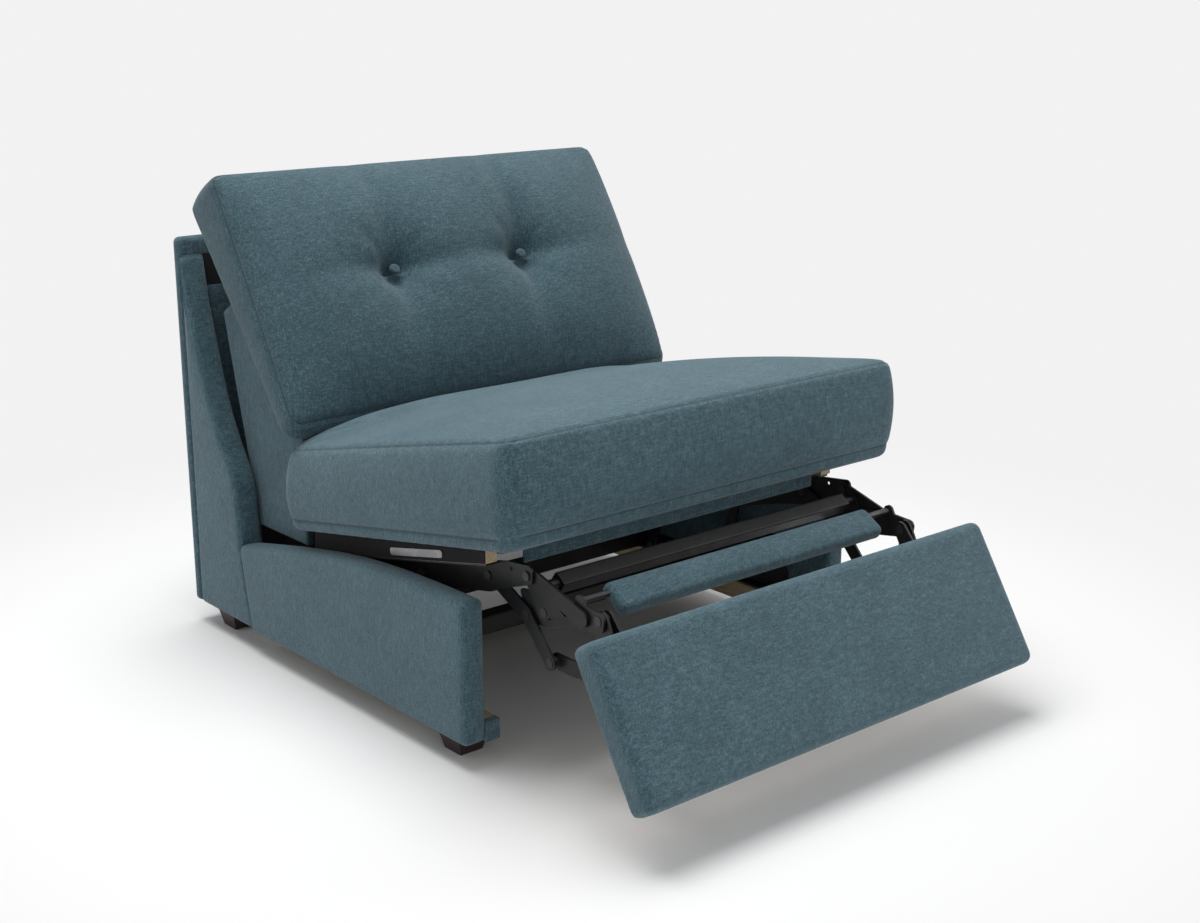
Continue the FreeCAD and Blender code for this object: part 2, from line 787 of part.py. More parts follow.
# Panel mounting plate, pivoted beside the bracket and flanged to the panel's board
def make_panel_mount():
    low = mount_x - plate_thickness
    depth = panel_pad_thickness + panel_board_thickness
    half = panel_height / 2
    points = [
        panel_point(depth, half - 60),
        panel_point(depth, -half + 50),
        panel_point(depth + 22, -half + 50),
        panel_point(depth + 40, half - 60),
    ]
    blade = slab([(p[0], p[1], 3.0) for p in points], low, mount_x)
    neck = bar(panel_point(depth + 22, half - 64), pivot_d, 20.0, link_end_radius, low, mount_x)
    trim_corners = []
    for trim_depth, height in ((depth, 300), (depth, -300), (-200, -300), (-200, 300)):
        point = panel_point(trim_depth, height)
        trim_corners.append((point[0], point[1], 0.0))
    trim = slab(trim_corners, low - 1, mount_x + 1)
    flange_points = [
        panel_point(depth, half - 60),
        panel_point(depth, -half + 50),
        panel_point(depth + 3, -half + 50),
        panel_point(depth + 3, half - 60),
    ]
    flange = slab([(p[0], p[1], 0.0) for p in flange_points], low - 24, mount_x)
    body = joined([blade, neck, flange]).cut(trim)
    return drilled(body, [pivot_d], pivot_radius + running_gap)


# Panel pieces are drawn upright about the panel's middle and then leaned back
def place_panel(shape):
    shape.rotate(Vector(0, 0, 0), Vector(1, 0, 0), -panel_tilt)
    shape.translate(Vector(0, panel_centre[0], panel_centre[1]))
    return shape


def make_panel_board():
    inset = 14.0
    width = overall_width - 2 * inset
    height = panel_height - 2 * inset
    corner = Vector(-width / 2, panel_pad_thickness, -height / 2)
    board = Part.makeBox(width, panel_board_thickness, height, corner)
    return place_panel(board)


def make_panel_pad():
    inset = 14.0
    outer = Part.makeBox(
        overall_width,
        panel_pad_thickness + panel_board_thickness,
        panel_height,
        Vector(-half_width, 0, -panel_height / 2),
    )
    front = [edge for edge in outer.Edges if max(v.Y for v in edge.Vertexes) < 0.01]
    corner = [edge for edge in outer.Edges if abs(edge.Vertexes[0].Y - edge.Vertexes[1].Y) > 1]
    outer = outer.makeFillet(panel_radius, front + corner)
    width = overall_width - 2 * inset
    height = panel_height - 2 * inset
    corner = Vector(-width / 2, panel_pad_thickness, -height / 2)
    pocket = Part.makeBox(width, panel_board_thickness + 1, height, corner)
    return place_panel(outer.cut(pocket))


def seat_board(y_front, y_rear, half):
    top = seat_gap
    low = top + frame_board_thickness
    corners = [
        (y_front, seat_bottom(y_front) - top, 3.0),
        (y_front, seat_bottom(y_front) - low, 3.0),
        (y_rear, seat_bottom(y_rear) - low, 3.0),
        (y_rear, seat_bottom(y_rear) - top, 3.0),
    ]
    return slab(corners, -half, half)


# Wooden seat rail along each side, between the seat plate and the cushion
def make_seat_side_rail():
    front = front_rail_front_y + 4
    corners = [
        (front, seat_bottom(front) - seat_gap, 2.0),
        (front, rail_low(front), 2.0),
        (rear_board_rear_y, rail_low(rear_board_rear_y), 2.0),
        (rear_board_rear_y, seat_bottom(rear_board_rear_y) - seat_gap, 2.0),
    ]
    return slab(corners, side_rail_outer_x - side_rail_thickness, side_rail_outer_x)


# Steel loop strap screwed to the outer face of the seat rail
def make_edge_clips():
    corners = []
    for y, lift in ((-112.0, 6.0), (24.0, 6.0), (24.0, 18.0), (-112.0, 18.0)):
        corners.append((y, rail_low(y) + lift, 5.0))
    return both_sides([slab(corners, side_rail_outer_x, side_rail_outer_x + 3.0)])


# One side-view section of the seat cushion: flat bottom, bulging front and rear, crowned top
def seat_section(x, inset, crown, bulge):
    rear = cushion_rear_y - inset
    front = cushion_front_y + inset
    low_rear = seat_bottom(rear) + inset * 0.3
    low_front = seat_bottom(front) + inset * 0.3
    high_rear = seat_bottom(rear) + cushion_rear_height - inset * 0.8
    high_front = seat_bottom(front) + cushion_front_height - inset * 0.8
    mid_y = (rear + front) / 2
    mid_z = (high_rear + high_front) / 2 + crown
    edges = [
        Part.makeLine(Vector(x, rear, low_rear), Vector(x, front, low_front)),
        Part.Arc(
            Vector(x, front, low_front),
            Vector(x, front - bulge, (low_front + high_front) / 2),
            Vector(x, front, high_front),
        ).toShape(),
        Part.Arc(Vector(x, front, high_front), Vector(x, mid_y, mid_z), Vector(x, rear, high_rear)).toShape(),
        Part.Arc(
            Vector(x, rear, high_rear),
            Vector(x, rear + bulge * 0.6, (low_rear + high_rear) / 2),
            Vector(x, rear, low_rear),
        ).toShape(),
    ]
    return Part.Wire(edges)


def make_seat_cushion():
    half = cushion_half_width
    stations = (
        (half, 16.0, 0.15, 0.3),
        (half - 6, 7.0, 0.25, 0.6),
        (half - 28, 1.0, 0.45, 0.9),
        (half - 90, 0.0, 0.75, 1.0),
        (half * 0.4, 0.0, 1.0, 1.0),
    )
    rows = [(-x, inset, crown, bulge) for x, inset, crown, bulge in stations]
    rows += [(x, inset, crown, bulge) for x, inset, crown, bulge in reversed(stations)]
    wires = []
    for x, inset, crown, bulge in rows:
        wires.append(seat_section(x, inset, cushion_crown * crown, cushion_side_bulge * bulge))
    return Part.makeLoft(wires, True, True)


# Point of the back cushion from its height up the rear face and its depth in front of it
def back_point(x, height, depth):
    lean = math.radians(back_lean)
    y = back_cushion_foot[0] + math.sin(lean) * height - math.cos(lean) * depth
    z = back_cushion_foot[1] + math.cos(lean) * height + math.sin(lean) * depth
    return Vector(x, y, z)


# One section of the back cushion: its front is two arcs that meet at the tuft line
def back_section(x, inset, crown, pull):
    low = inset
    high = back_cushion_height - inset
    foot = back_cushion_foot_depth - inset * 0.5
    top = back_cushion_top_depth - inset
    rear = inset * 0.15
    share = (tuft_height - low) / (high - low)
    chord = foot + (top - foot) * share
    peak = chord + crown - pull
    low_mid = foot + (peak - foot) * 0.5 + crown * 0.42
    high_mid = peak + (top - peak) * 0.5 + crown * 0.26
    edges = [
        Part.makeLine(back_point(x, low, rear), back_point(x, low, foot)),
        Part.Arc(
            back_point(x, low, foot),
            back_point(x, (low + tuft_height) / 2, low_mid),
            back_point(x, tuft_height, peak),
        ).toShape(),
        Part.Arc(
            back_point(x, tuft_height, peak),
            back_point(x, (tuft_height + high) / 2, high_mid),
            back_point(x, high, top),
        ).toShape(),
        Part.makeLine(back_point(x, high, top), back_point(x, high, rear)),
        Part.makeLine(back_point(x, high, rear), back_point(x, low, rear)),
    ]
    return Part.Wire(edges)


def make_back_cushion():
    half = back_cushion_half_width
    near = 30.0
    stations = [
        (half, 12.0, 0.06, 0.0),
        (half - 10, 4.0, 0.2, 0.0),
        (half - 60, 0.0, 0.65, 0.0),
        (tuft_offset_x + 3 * near, 0.0, 1.0, 0.05),
        (tuft_offset_x + near, 0.0, 1.0, 0.45),
        (tuft_offset_x, 0.0, 1.0, 1.0),
        (tuft_offset_x - near, 0.0, 1.0, 0.45),
        (tuft_offset_x - 3 * near, 0.0, 1.0, 0.15),
    ]
    rows = [(-x, inset, crown, pull) for x, inset, crown, pull in stations]
    rows += [(x, inset, crown, pull) for x, inset, crown, pull in reversed(stations)]
    wires = []
    for x, inset, crown, pull in rows:
        wires.append(back_section(x, inset, back_cushion_crown * crown, tuft_depth * pull))
    body = Part.makeLoft(wires, True, True)
    for button in make_tuft_buttons():
        body = body.cut(button)
    return body


def make_tuft_buttons():
    buttons = []
    chord = back_cushion_foot_depth + (back_cushion_top_depth - back_cushion_foot_depth) * tuft_height / back_cushion_height
    depth = chord + back_cushion_crown - tuft_depth - 1.0
    for x in (-tuft_offset_x, tuft_offset_x):
        base = back_point(x, tuft_height, depth)
        outer = back_point(x, tuft_height, depth + 5.0)
        cap = Part.makeCone(button_radius, button_radius * 0.7, 5.0, base, outer.sub(base))
        buttons.append(cap)
    return buttons


# Inner back frame behind the cushion: two wedge-shaped sides and two rails
def make_back_stile():
    front_top = back_point(0, back_frame_height, -back_frame_gap)
    lean = math.radians(back_lean)
    bend_up = (back_frame_front_y - back_cushion_foot[0] - math.cos(lean) * back_frame_gap) / math.sin(lean)
    bend = back_point(0, bend_up, -back_frame_gap)
    corners = [
        (front_top.y, front_top.z, 14.0),
        (back_frame_rear_top[0], back_frame_rear_top[1], 22.0),
        (back_frame_rear_low[0], back_frame_rear_low[1], 12.0),
        (back_frame_front_y, back_frame_rear_low[1], 8.0),
        (back_frame_front_y, bend.z, 6.0),
    ]
    body = slab(corners, back_frame_half_width - back_frame_thickness, back_frame_half_width)
    outer = [edge for edge in body.Edges if edge.BoundBox.XMin > back_frame_half_width - 0.01]
    return body.makeFillet(4.0, outer)


def make_back_rail(height):
    corners = []
    top = height + back_rail_height
    for up, depth in ((height, 0), (top, 0), (top, -back_rail_depth), (height, -back_rail_depth)):
        point = back_point(0, up, depth - back_frame_gap)
        corners.append((point.y, point.z, 3.0))
    half = back_frame_half_width - back_frame_thickness
    return slab(corners, -half, half)


# Hinge strap flat on the inner face of the back frame's side
def make_back_hinge():
    outer = back_frame_half_width - back_frame_thickness
    strap = bar(back_hinge, shifted(back_hinge, 72.0, 76.0), 13.0, 12.0, outer - plate_thickness, outer)
    return drilled(strap, [back_hinge], pivot_radius + running_gap)


# Ear that turns up behind the cushion from the seat plate and carries the back's hinge
def make_seat_hinge():
    outer = seat_plate_x - seat_plate_flange
    top = rail_low(rear_board_rear_y)
    corners = [
        (rear_board_rear_y - 22, top - 4, 3.0),
        (rear_board_rear_y - 22, top - 24, 3.0),
        (back_hinge[0] + 13, top - 24, 12.0),
        (back_hinge[0] + 13, back_hinge[1] + 13, 12.0),
        (back_hinge[0] - 12, back_hinge[1] + 13, 12.0),
        (back_hinge[0] - 12, top + 18, 14.0),
    ]
    return drilled(slab(corners, outer - plate_thickness, outer), [back_hinge], pivot_radius)


def make_back_hinge_pins():
    inner = seat_plate_x - seat_plate_flange - plate_thickness
    outer = back_frame_half_width - back_frame_thickness - seat_gap
    shank = rod(back_hinge, inner - rivet_head_height, outer, pivot_radius)
    head = rod(back_hinge, inner - rivet_head_height, inner, rivet_head_radius)
    return both_sides([joined([shank, head])])


export_pair("side_rail", make_side_rail())
export_group("rail_boards", both_sides([make_rail_board()]))
export_group("rail_cleats", both_sides([make_cleat()]))
export_pair("wing", make_wing())
export("shell_back", make_shell_back())
export("back_lining", make_lining())
export_group("front_feet", both_sides([make_foot(foot_front_y)]))
export_group("rear_feet", both_sides([make_foot(foot_rear_y)]))
export_pair("base_plate", make_base_plate())
export("base_front_tube", make_cross_tube(front_tube_y, front_tube_z))
export("base_rear_tube", make_cross_tube(rear_tube_y, floor_gap + cleat_height + plate_thickness))
export_group("base_pins", make_base_pins())

export_pair("front_recline_link", make_recline_link(front_link_seat_pivot))
export_pair("rear_recline_link", make_recline_link(rear_link_seat_pivot))

export_pair("seat_plate", make_seat_plate())
export_group("seat_pins", make_seat_pins())
export_pair("seat_side_rail", make_seat_side_rail())
board_half = side_rail_outer_x - side_rail_thickness - seat_gap
export("seat_front_rail", seat_board(front_rail_front_y, front_rail_rear_y, board_half))
export("seat_rear_board", seat_board(rear_board_front_y, rear_board_rear_y, board_half))
export_group("edge_clips", make_edge_clips())
export("seat_cushion", make_seat_cushion())
export_group("seat_hinges", both_sides([make_seat_hinge()]))
export_group("back_hinge_pins", make_back_hinge_pins())

export_pair("rear_ottoman_link", make_rear_ottoman_link())
export_group("rear_ottoman_pins", make_rear_ottoman_pins())
export_pair("upper_ottoman_link", make_upper_ottoman_link())
export_group("upper_ottoman_pins", make_upper_ottoman_pins())
export("drive_tube", make_drive_tube())
export_group("drive_tube_ends", make_drive_tube_ends())
export("mid_pad", make_mid_pad())
export_group("pad_rods", make_pad_rods())
export_pair("front_ottoman_link", make_front_ottoman_link())
export_group("front_ottoman_pins", make_front_ottoman_pins())
export_pair("lower_ottoman_link", make_lower_ottoman_link())
export_group("lower_ottoman_pins", make_lower_ottoman_pins())
export_pair("footrest_bracket", make_footrest_bracket())
export_pair("panel_mount", make_panel_mount())
export("footrest_board", make_panel_board())
export("footrest_pad", make_panel_pad())

export("back_cushion", make_back_cushion())
export_group("tuft_buttons", make_tuft_buttons())
export_group("back_stiles", both_sides([make_back_stile()]))
export("back_lower_rail", make_back_rail(50.0))
export("back_upper_rail", make_back_rail(back_frame_height - back_rail_height - 14))
export_group("back_hinges", both_sides([make_back_hinge()]))
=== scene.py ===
# Armless recliner in teal chenille, footrest part-way out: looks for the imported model
import math
import bpy
import numpy as np
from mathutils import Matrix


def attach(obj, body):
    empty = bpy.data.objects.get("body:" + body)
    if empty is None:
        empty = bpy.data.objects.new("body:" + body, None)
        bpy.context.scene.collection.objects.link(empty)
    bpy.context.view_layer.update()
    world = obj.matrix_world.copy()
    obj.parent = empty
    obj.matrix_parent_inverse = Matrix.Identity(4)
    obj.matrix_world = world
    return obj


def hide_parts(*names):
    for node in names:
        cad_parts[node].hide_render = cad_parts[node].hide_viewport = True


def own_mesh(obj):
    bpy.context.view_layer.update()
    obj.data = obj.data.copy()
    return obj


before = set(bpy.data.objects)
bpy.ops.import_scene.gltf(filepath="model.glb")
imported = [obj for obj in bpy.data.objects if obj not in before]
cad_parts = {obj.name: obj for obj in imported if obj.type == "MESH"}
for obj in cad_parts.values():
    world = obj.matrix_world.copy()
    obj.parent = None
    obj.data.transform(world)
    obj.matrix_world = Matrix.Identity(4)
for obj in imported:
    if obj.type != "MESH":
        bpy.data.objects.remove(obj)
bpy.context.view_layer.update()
scene = bpy.context.scene


class Wire:  # one shader socket; arithmetic on it adds Math nodes
    def __init__(self, tree, socket):
        self.tree = tree
        self.socket = socket

    def maths(self, operation, first, second=None):
        node = self.tree.nodes.new("ShaderNodeMath")
        node.operation = operation
        for place, value in enumerate((first, second)):
            if isinstance(value, Wire):
                self.tree.links.new(value.socket, node.inputs[place])
            elif value is not None:
                node.inputs[place].default_value = value
        return Wire(self.tree, node.outputs[0])

    def __add__(self, other): return self.maths("ADD", self, other)
    def __radd__(self, other): return self.maths("ADD", other, self)
    def __sub__(self, other): return self.maths("SUBTRACT", self, other)
    def __rsub__(self, other): return self.maths("SUBTRACT", other, self)
    def __mul__(self, other): return self.maths("MULTIPLY", self, other)
    def __rmul__(self, other): return self.maths("MULTIPLY", other, self)
    def __truediv__(self, other): return self.maths("DIVIDE", self, other)

    def limited(self):  # kept between 0 and 1
        return self.maths("MINIMUM", self.maths("MAXIMUM", self, 0.0), 1.0)


class Finish:  # a material; add() makes any node from its type, settings and socket values
    def __init__(self, name):
        self.material = bpy.data.materials.new(name)
        self.material.use_nodes = True
        self.tree = self.material.node_tree
        self.tree.nodes.clear()

    def add(self, kind, settings=None, values=None, output=0):
        node = self.tree.nodes.new(kind)
        for key, value in (settings or {}).items():
            if key == "stops":
                ramp = node.color_ramp
                while len(ramp.elements) < len(value):
                    ramp.elements.new(0.5)
                for element, (place, colour) in zip(ramp.elements, value):
                    element.position = place
                    element.color = (*colour, 1.0)
            else:
                setattr(node, key, value)
        for key, value in (values or {}).items():
            if isinstance(value, Wire):
                self.tree.links.new(value.socket, node.inputs[key])
            else:
                node.inputs[key].default_value = value
        return Wire(self.tree, node.outputs[output])

    def place(self, scale=(1, 1, 1)):  # object coordinates, stretched
        spot = self.add("ShaderNodeTexCoord", output="Object")
        return self.add("ShaderNodeMapping", None, {"Vector": spot, "Scale": scale})

    def noise(self, where, scale, detail=2.0, rough=0.5):
        return self.add("ShaderNodeTexNoise", None, {
            "Vector": where, "Scale": scale, "Detail": detail, "Roughness": rough}, "Fac")

    def blend(self, factor, low, high):  # colours through a Mix node; its RGBA inputs are 6 and 7
        node = self.tree.nodes.new("ShaderNodeMix")
        node.data_type = "RGBA"
        for place, value in ((0, factor), (6, low), (7, high)):
            if isinstance(value, Wire):
                self.tree.links.new(value.socket, node.inputs[place])
            else:
                node.inputs[place].default_value = value if place == 0 else (*value, 1.0)
        return Wire(self.tree, node.outputs[2])

    def surface(self, fixed, linked):  # closes the material with a Principled shader
        shader = self.add("ShaderNodeBsdfPrincipled", None, {**fixed, **linked})
        out = self.tree.nodes.new("ShaderNodeOutputMaterial")
        self.tree.links.new(shader.socket, out.inputs["Surface"])
        return self.material


clothLook = {
    "deep": (0.017, 0.043, 0.058),
    "mid": (0.045, 0.094, 0.118),
    "pale": (0.122, 0.205, 0.240),
    "speckleScale": 820.0, "speckleShare": 1.45,
    "yarnScale": 330.0, "yarnShare": 0.52,
    "mottleScale": 75.0, "mottleShare": 0.26,
    "cloudScale": 11.0, "cloudShare": 0.24,
    "seamStart": 0.74, "seamSlope": 7.0, "seamShade": 0.85,
    "puckerScale": 120.0, "pucker": 1.6,
    "bump": 0.55, "bumpDepth": 0.0011,
    "sheen": 0.27, "sheenTint": (0.80, 0.90, 0.95, 1.0),
}


def makeChenille(name, look):
    # heather = fine speckle + stretched yarn flecks in both directions + slow clouding of the nap
    cloth = Finish(name)
    spot = cloth.place()
    speckle = cloth.noise(spot, look["speckleScale"], 2.0, 0.6)
    along = cloth.noise(cloth.place((0.22, 1.0, 1.0)), look["yarnScale"], 1.0)
    across = cloth.noise(cloth.place((1.0, 0.9, 0.2)), look["yarnScale"] * 1.15, 1.0)
    mottle = cloth.noise(spot, look["mottleScale"], 3.0, 0.6)
    cloud = cloth.noise(spot, look["cloudScale"], 3.0, 0.55)
    yarns = (along - 0.5) * look["yarnShare"] + (across - 0.5) * look["yarnShare"]
    heather = (speckle - 0.5) * look["speckleShare"] + yarns + (mottle - 0.5) * look["mottleShare"]
    tone = (0.5 + heather + (cloud - 0.5) * look["cloudShare"]).limited()
    colour = cloth.add("ShaderNodeValToRGB", {"stops": (
        (0.12, look["deep"]), (0.5, look["mid"]), (0.92, look["pale"]))}, {"Fac": tone}, "Color")
    near = cloth.add("ShaderNodeAttribute", {"attribute_name": "seamNear"}, None, "Fac")
    line = ((near - look["seamStart"]) * look["seamSlope"]).limited()
    colour = cloth.blend(line * look["seamShade"], colour, look["deep"])
    pucker = (cloth.noise(spot, look["puckerScale"], 1.0) - 0.5) * near * look["pucker"]
    height = heather * 0.9 + (mottle - 0.5) * 0.5 + pucker - line * look["pucker"]
    bump = cloth.add("ShaderNodeBump", None, {
        "Height": height, "Strength": look["bump"], "Distance": look["bumpDepth"]}, "Normal")
    rough = (0.84 + (mottle - 0.5) * 0.2).limited()
    return cloth.surface(
        {"Specular IOR Level": 0.22, "Sheen Weight": look["sheen"], "Sheen Roughness": 0.55,
         "Sheen Tint": look["sheenTint"]},
        {"Base Color": colour, "Roughness": rough, "Normal": bump})


def makeLiningCloth(name):
    # black non-woven: pressed dimples and short fibres
    cloth = Finish(name)
    fibres = cloth.noise(cloth.place((1.0, 1.0, 0.3)), 480.0, 3.0, 0.7)
    dimple = cloth.add(
        "ShaderNodeTexVoronoi", None, {"Vector": cloth.place(), "Scale": 420.0}, "Distance")
    colour = cloth.blend(fibres, (0.006, 0.006, 0.007), (0.022, 0.022, 0.024))
    bump = cloth.add("ShaderNodeBump", None, {
        "Height": fibres * 0.5 + dimple, "Strength": 0.4, "Distance": 0.0006}, "Normal")
    return cloth.surface({"Specular IOR Level": 0.25}, {
        "Base Color": colour, "Roughness": 0.8 + fibres * 0.15, "Normal": bump})


def makeBoardWood(name, stretch, pale, dark, rough, grain=170.0):
    # grain = noise drawn out along the board, bent a little by a slower noise
    wood = Finish(name)
    warp = wood.noise(wood.place(stretch), 7.0, 2.0)
    streak = wood.noise(wood.place(stretch), grain, 3.0, 0.65)
    pores = wood.noise(wood.place(stretch), grain * 4.0, 1.0, 0.5)
    tone = ((streak - 0.5) * 1.5 + warp * 0.8 + (pores - 0.5) * 0.5 + 0.1).limited()
    colour = wood.blend(tone, dark, pale)
    bump = wood.add("ShaderNodeBump", None, {
        "Height": streak * 0.5 + pores * 0.5, "Strength": 0.25, "Distance": 0.0005}, "Normal")
    return wood.surface({"Specular IOR Level": 0.35}, {
        "Base Color": colour, "Roughness": rough + (streak - 0.5) * 0.2, "Normal": bump})


def makePaintedSteel(name, base, worn, rough, metal):
    # satin paint: orange peel in the bump, rubbed patches that are smoother and a shade paler
    steel = Finish(name)
    peel = steel.noise(steel.place(), 900.0, 1.0)
    rub = steel.noise(steel.place(), 26.0, 4.0, 0.65)
    dust = steel.noise(steel.place(), 240.0, 2.0, 0.6)
    colour = steel.blend(((rub - 0.52) * 3.0).limited() * 0.6 + (dust - 0.5) * 0.2, base, worn)
    bump = steel.add("ShaderNodeBump", None, {
        "Height": peel + rub * 0.4, "Strength": 0.12, "Distance": 0.0004}, "Normal")
    return steel.surface({"Specular IOR Level": 0.5}, {
        "Base Color": colour, "Roughness": (rough + (0.5 - rub) * 0.35).limited(),
        "Metallic": metal + (dust - 0.5) * 0.05, "Normal": bump})


chenille = makeChenille("tealChenille", clothLook)
# painted shade: the back cushion and its buttons get a darker copy of the seat's cloth, every tone
# multiplied by the factor below, standing in for the dimmer light on the back's front
paintedBackShade = 0.80
paintedShadeTones = ("deep", "mid", "pale")
paintedShadeLook = {tone: tuple(part * paintedBackShade for part in clothLook[tone]) for tone in paintedShadeTones}
shadedBackChenille = makeChenille("tealChenilleBackPaintedShade", {**clothLook, **paintedShadeLook, "sheen": 0.2})
lining = makeLiningCloth("blackLining")
pinePale, pineDark, pineRough = (0.62, 0.50, 0.33), (0.36, 0.26, 0.15), 0.7
boardAlongY = makeBoardWood("sawnPineAlongY", (1.0, 0.05, 1.0), pinePale, pineDark, pineRough)
boardAlongX = makeBoardWood("sawnPineAlongX", (0.05, 1.0, 1.0), pinePale, pineDark, pineRough)
footWood = makeBoardWood(
    "espressoFoot", (1.0, 1.0, 0.06), (0.048, 0.031, 0.028), (0.021, 0.014, 0.013), 0.42)
blackSteel = makePaintedSteel(
    "satinBlackSteel", (0.010, 0.010, 0.011), (0.028, 0.028, 0.030), 0.40, 0.35)
rivetSteel = makePaintedSteel("darkZinc", (0.055, 0.055, 0.058), (0.16, 0.16, 0.165), 0.38, 0.85)
brightSteel = makePaintedSteel("brightClip", (0.22, 0.22, 0.23), (0.42, 0.42, 0.43), 0.3, 0.9)
print("materials made")

nodeFinishes = (  # every other node is black steel
    (boardAlongY, ("rail_boards", "rail_cleats", "left_seat_side_rail", "right_seat_side_rail")),
    (boardAlongX, ("seat_rear_board", "footrest_board", "back_lower_rail", "back_upper_rail")),
    (lining, ("back_lining",)),
    (footWood, ("front_feet", "rear_feet")),
    (rivetSteel, (
        "base_pins", "seat_pins", "rear_ottoman_pins", "upper_ottoman_pins", "front_ottoman_pins",
        "lower_ottoman_pins", "back_hinge_pins", "pad_rods")),
    (brightSteel, ("edge_clips",)),
    (chenille, (
        "left_side_rail", "right_side_rail", "left_wing", "right_wing", "shell_back",
        "seat_front_rail", "seat_cushion", "back_cushion", "tuft_buttons", "back_stiles",
        "footrest_pad", "mid_pad")),
)
cadFinish = {node: finish for finish, nodes in nodeFinishes for node in nodes}
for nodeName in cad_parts:
    cadObject = bpy.data.objects.get(nodeName)
    if cadObject is None:
        continue
    finish = cadFinish.get(nodeName, blackSteel)
    if not cadObject.material_slots:
        cadObject.data.materials.append(finish)
    for place in cadObject.material_slots:
        place.material = finish
print("carried-over nodes dressed")


def solidFrom(name, vertices, faces):
    # faces are turned round where the signed volume, a . (b x c) summed over triangles, is negative
    mesh = bpy.data.meshes.new(name)
    mesh.from_pydata(vertices.tolist(), [], faces)
    fans = [(f[0], f[k], f[k + 1]) for f in faces for k in range(1, len(f) - 1)]
    corners = vertices[np.array(fans)]
    volume = np.einsum("ij,ij->i", corners[:, 0], np.cross(corners[:, 1], corners[:, 2])).sum()
    if volume < 0:
        mesh.flip_normals()
    mesh.polygons.foreach_set("use_smooth", np.ones(len(mesh.polygons), dtype=bool))
    mesh.update()
    thing = bpy.data.objects.new(name, mesh)
    scene.collection.objects.link(thing)
    return thing


def closedSkin(name, rings):
    # grid of rings (rows x columns x 3), each ring closed; both end rings close on their middle
    rows, columns = rings.shape[:2]
    vertices = np.vstack([rings.reshape(-1, 3), rings[0].mean(axis=0), rings[-1].mean(axis=0)])
    row = np.arange(rows - 1)[:, None] * columns
    here = np.arange(columns)[None, :]
    following = (here + 1) % columns
    above = row + columns
    quads = np.stack([row + here, row + following, above + following, above + here], axis=-1)
    low, high = rows * columns, rows * columns + 1
    last = (rows - 1) * columns
    edge = np.arange(columns)
    capLow = np.stack([np.full(columns, low), (edge + 1) % columns, edge], axis=-1)
    capHigh = np.stack([np.full(columns, high), last + edge, last + (edge + 1) % columns], axis=-1)
    return solidFrom(name, vertices, quads.reshape(-1, 4).tolist() + capLow.tolist() + capHigh.tolist())


def roundedRing(sideA, sideB, cornerSteps):
    # unit description of a rounded rectangle: centre signs of each corner circle and its unit arc
    signA, signB, arcA, arcB = [], [], [], []
    corners = ((1, 1, 0.0), (-1, 1, 90.0), (-1, -1, 180.0), (1, -1, 270.0))
    for place, (a, b, start) in enumerate(corners):
        turn = np.radians(start + np.linspace(0, 90, cornerSteps + 1))
        signA.append(np.full(turn.size, a))
        signB.append(np.full(turn.size, b))
        arcA.append(np.cos(turn))
        arcB.append(np.sin(turn))
        nextA, nextB, _ = corners[(place + 1) % 4]
        steps = np.linspace(0, 1, (sideA if b == nextB else sideB) + 1)[1:-1]
        end = math.radians(start + 90)
        signA.append(a + (nextA - a) * steps)
        signB.append(b + (nextB - b) * steps)
        arcA.append(np.full(steps.size, math.cos(end)))
        arcB.append(np.full(steps.size, math.sin(end)))
    return [np.concatenate(part).astype(float) for part in (signA, signB, arcA, arcB)]


def level(t, *values):
    # each value held the same along all stations
    return tuple(np.full_like(t, value) for value in values)


def paddedBlock(name, stations, limits, place, radius, sides, puff=(0.0, 0.0)):
    # at station t the section is a rounded rectangle lowA..highA by lowB..highB; near both ends it
    # draws in by radius - sqrt(radius^2 - (radius - d)^2), d being the way to the end
    signA, signB, arcA, arcB = roundedRing(sides[0], sides[1], 5)
    lowA, highA, lowB, highB = limits(stations)
    way = np.minimum(stations - stations[0], stations[-1] - stations)
    dip = np.clip(radius - way, 0, radius)
    inset = radius - np.sqrt(np.maximum(radius ** 2 - dip ** 2, 0))
    halfA = np.maximum((highA - lowA) / 2 - inset, 1e-4)
    halfB = np.maximum((highB - lowB) / 2 - inset, 1e-4)
    bend = np.minimum(np.maximum(radius - inset, 2e-4), np.minimum(halfA, halfB) * 0.98)
    a = (lowA + highA)[:, None] / 2 + (halfA - bend)[:, None] * signA + bend[:, None] * arcA
    b = (lowB + highB)[:, None] / 2 + (halfB - bend)[:, None] * signB + bend[:, None] * arcB
    swell = (1 - signA ** 2) * np.clip(way / 0.06, 0, 1)[:, None]  # faces swell between their edges
    b = b + swell * np.where(arcB > 0.5, puff[1], np.where(arcB < -0.5, -puff[0], 0.0))
    t = np.broadcast_to(stations[:, None], a.shape)
    x, y, z = place(t, a, b)
    return closedSkin(name, np.stack([x, y, z], axis=-1))


def endStations(low, high, radius, steps, middle):
    # stations close together inside the rounded ends and even between them
    turn = np.linspace(0, np.pi / 2, steps)
    start = low + radius * (1 - np.cos(turn))
    between = np.linspace(low + radius, high - radius, middle)[1:-1]
    return np.concatenate([start, between, (low + high) - start[::-1]])


def finishPiece(thing, body, nodes=(), levels=0, material=chenille):
    thing.data.materials.clear()
    thing.data.materials.append(material)
    if levels:
        smooth = thing.modifiers.new("finer", "SUBSURF")
        smooth.levels = levels
        smooth.render_levels = levels
    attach(thing, body)
    if nodes:
        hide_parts(*nodes)
    return thing


blockSize = 3000  # points measured at once
lightPin = 0.35
seamHold = 0.36  # just over the light pin, so seams stay put
clothSteps = 20
seamReach = 0.012


def coordinates(mesh, kind="co"):
    values = np.zeros(len(mesh.vertices) * 3)
    mesh.vertices.foreach_get(kind, values)
    return values.reshape(-1, 3)


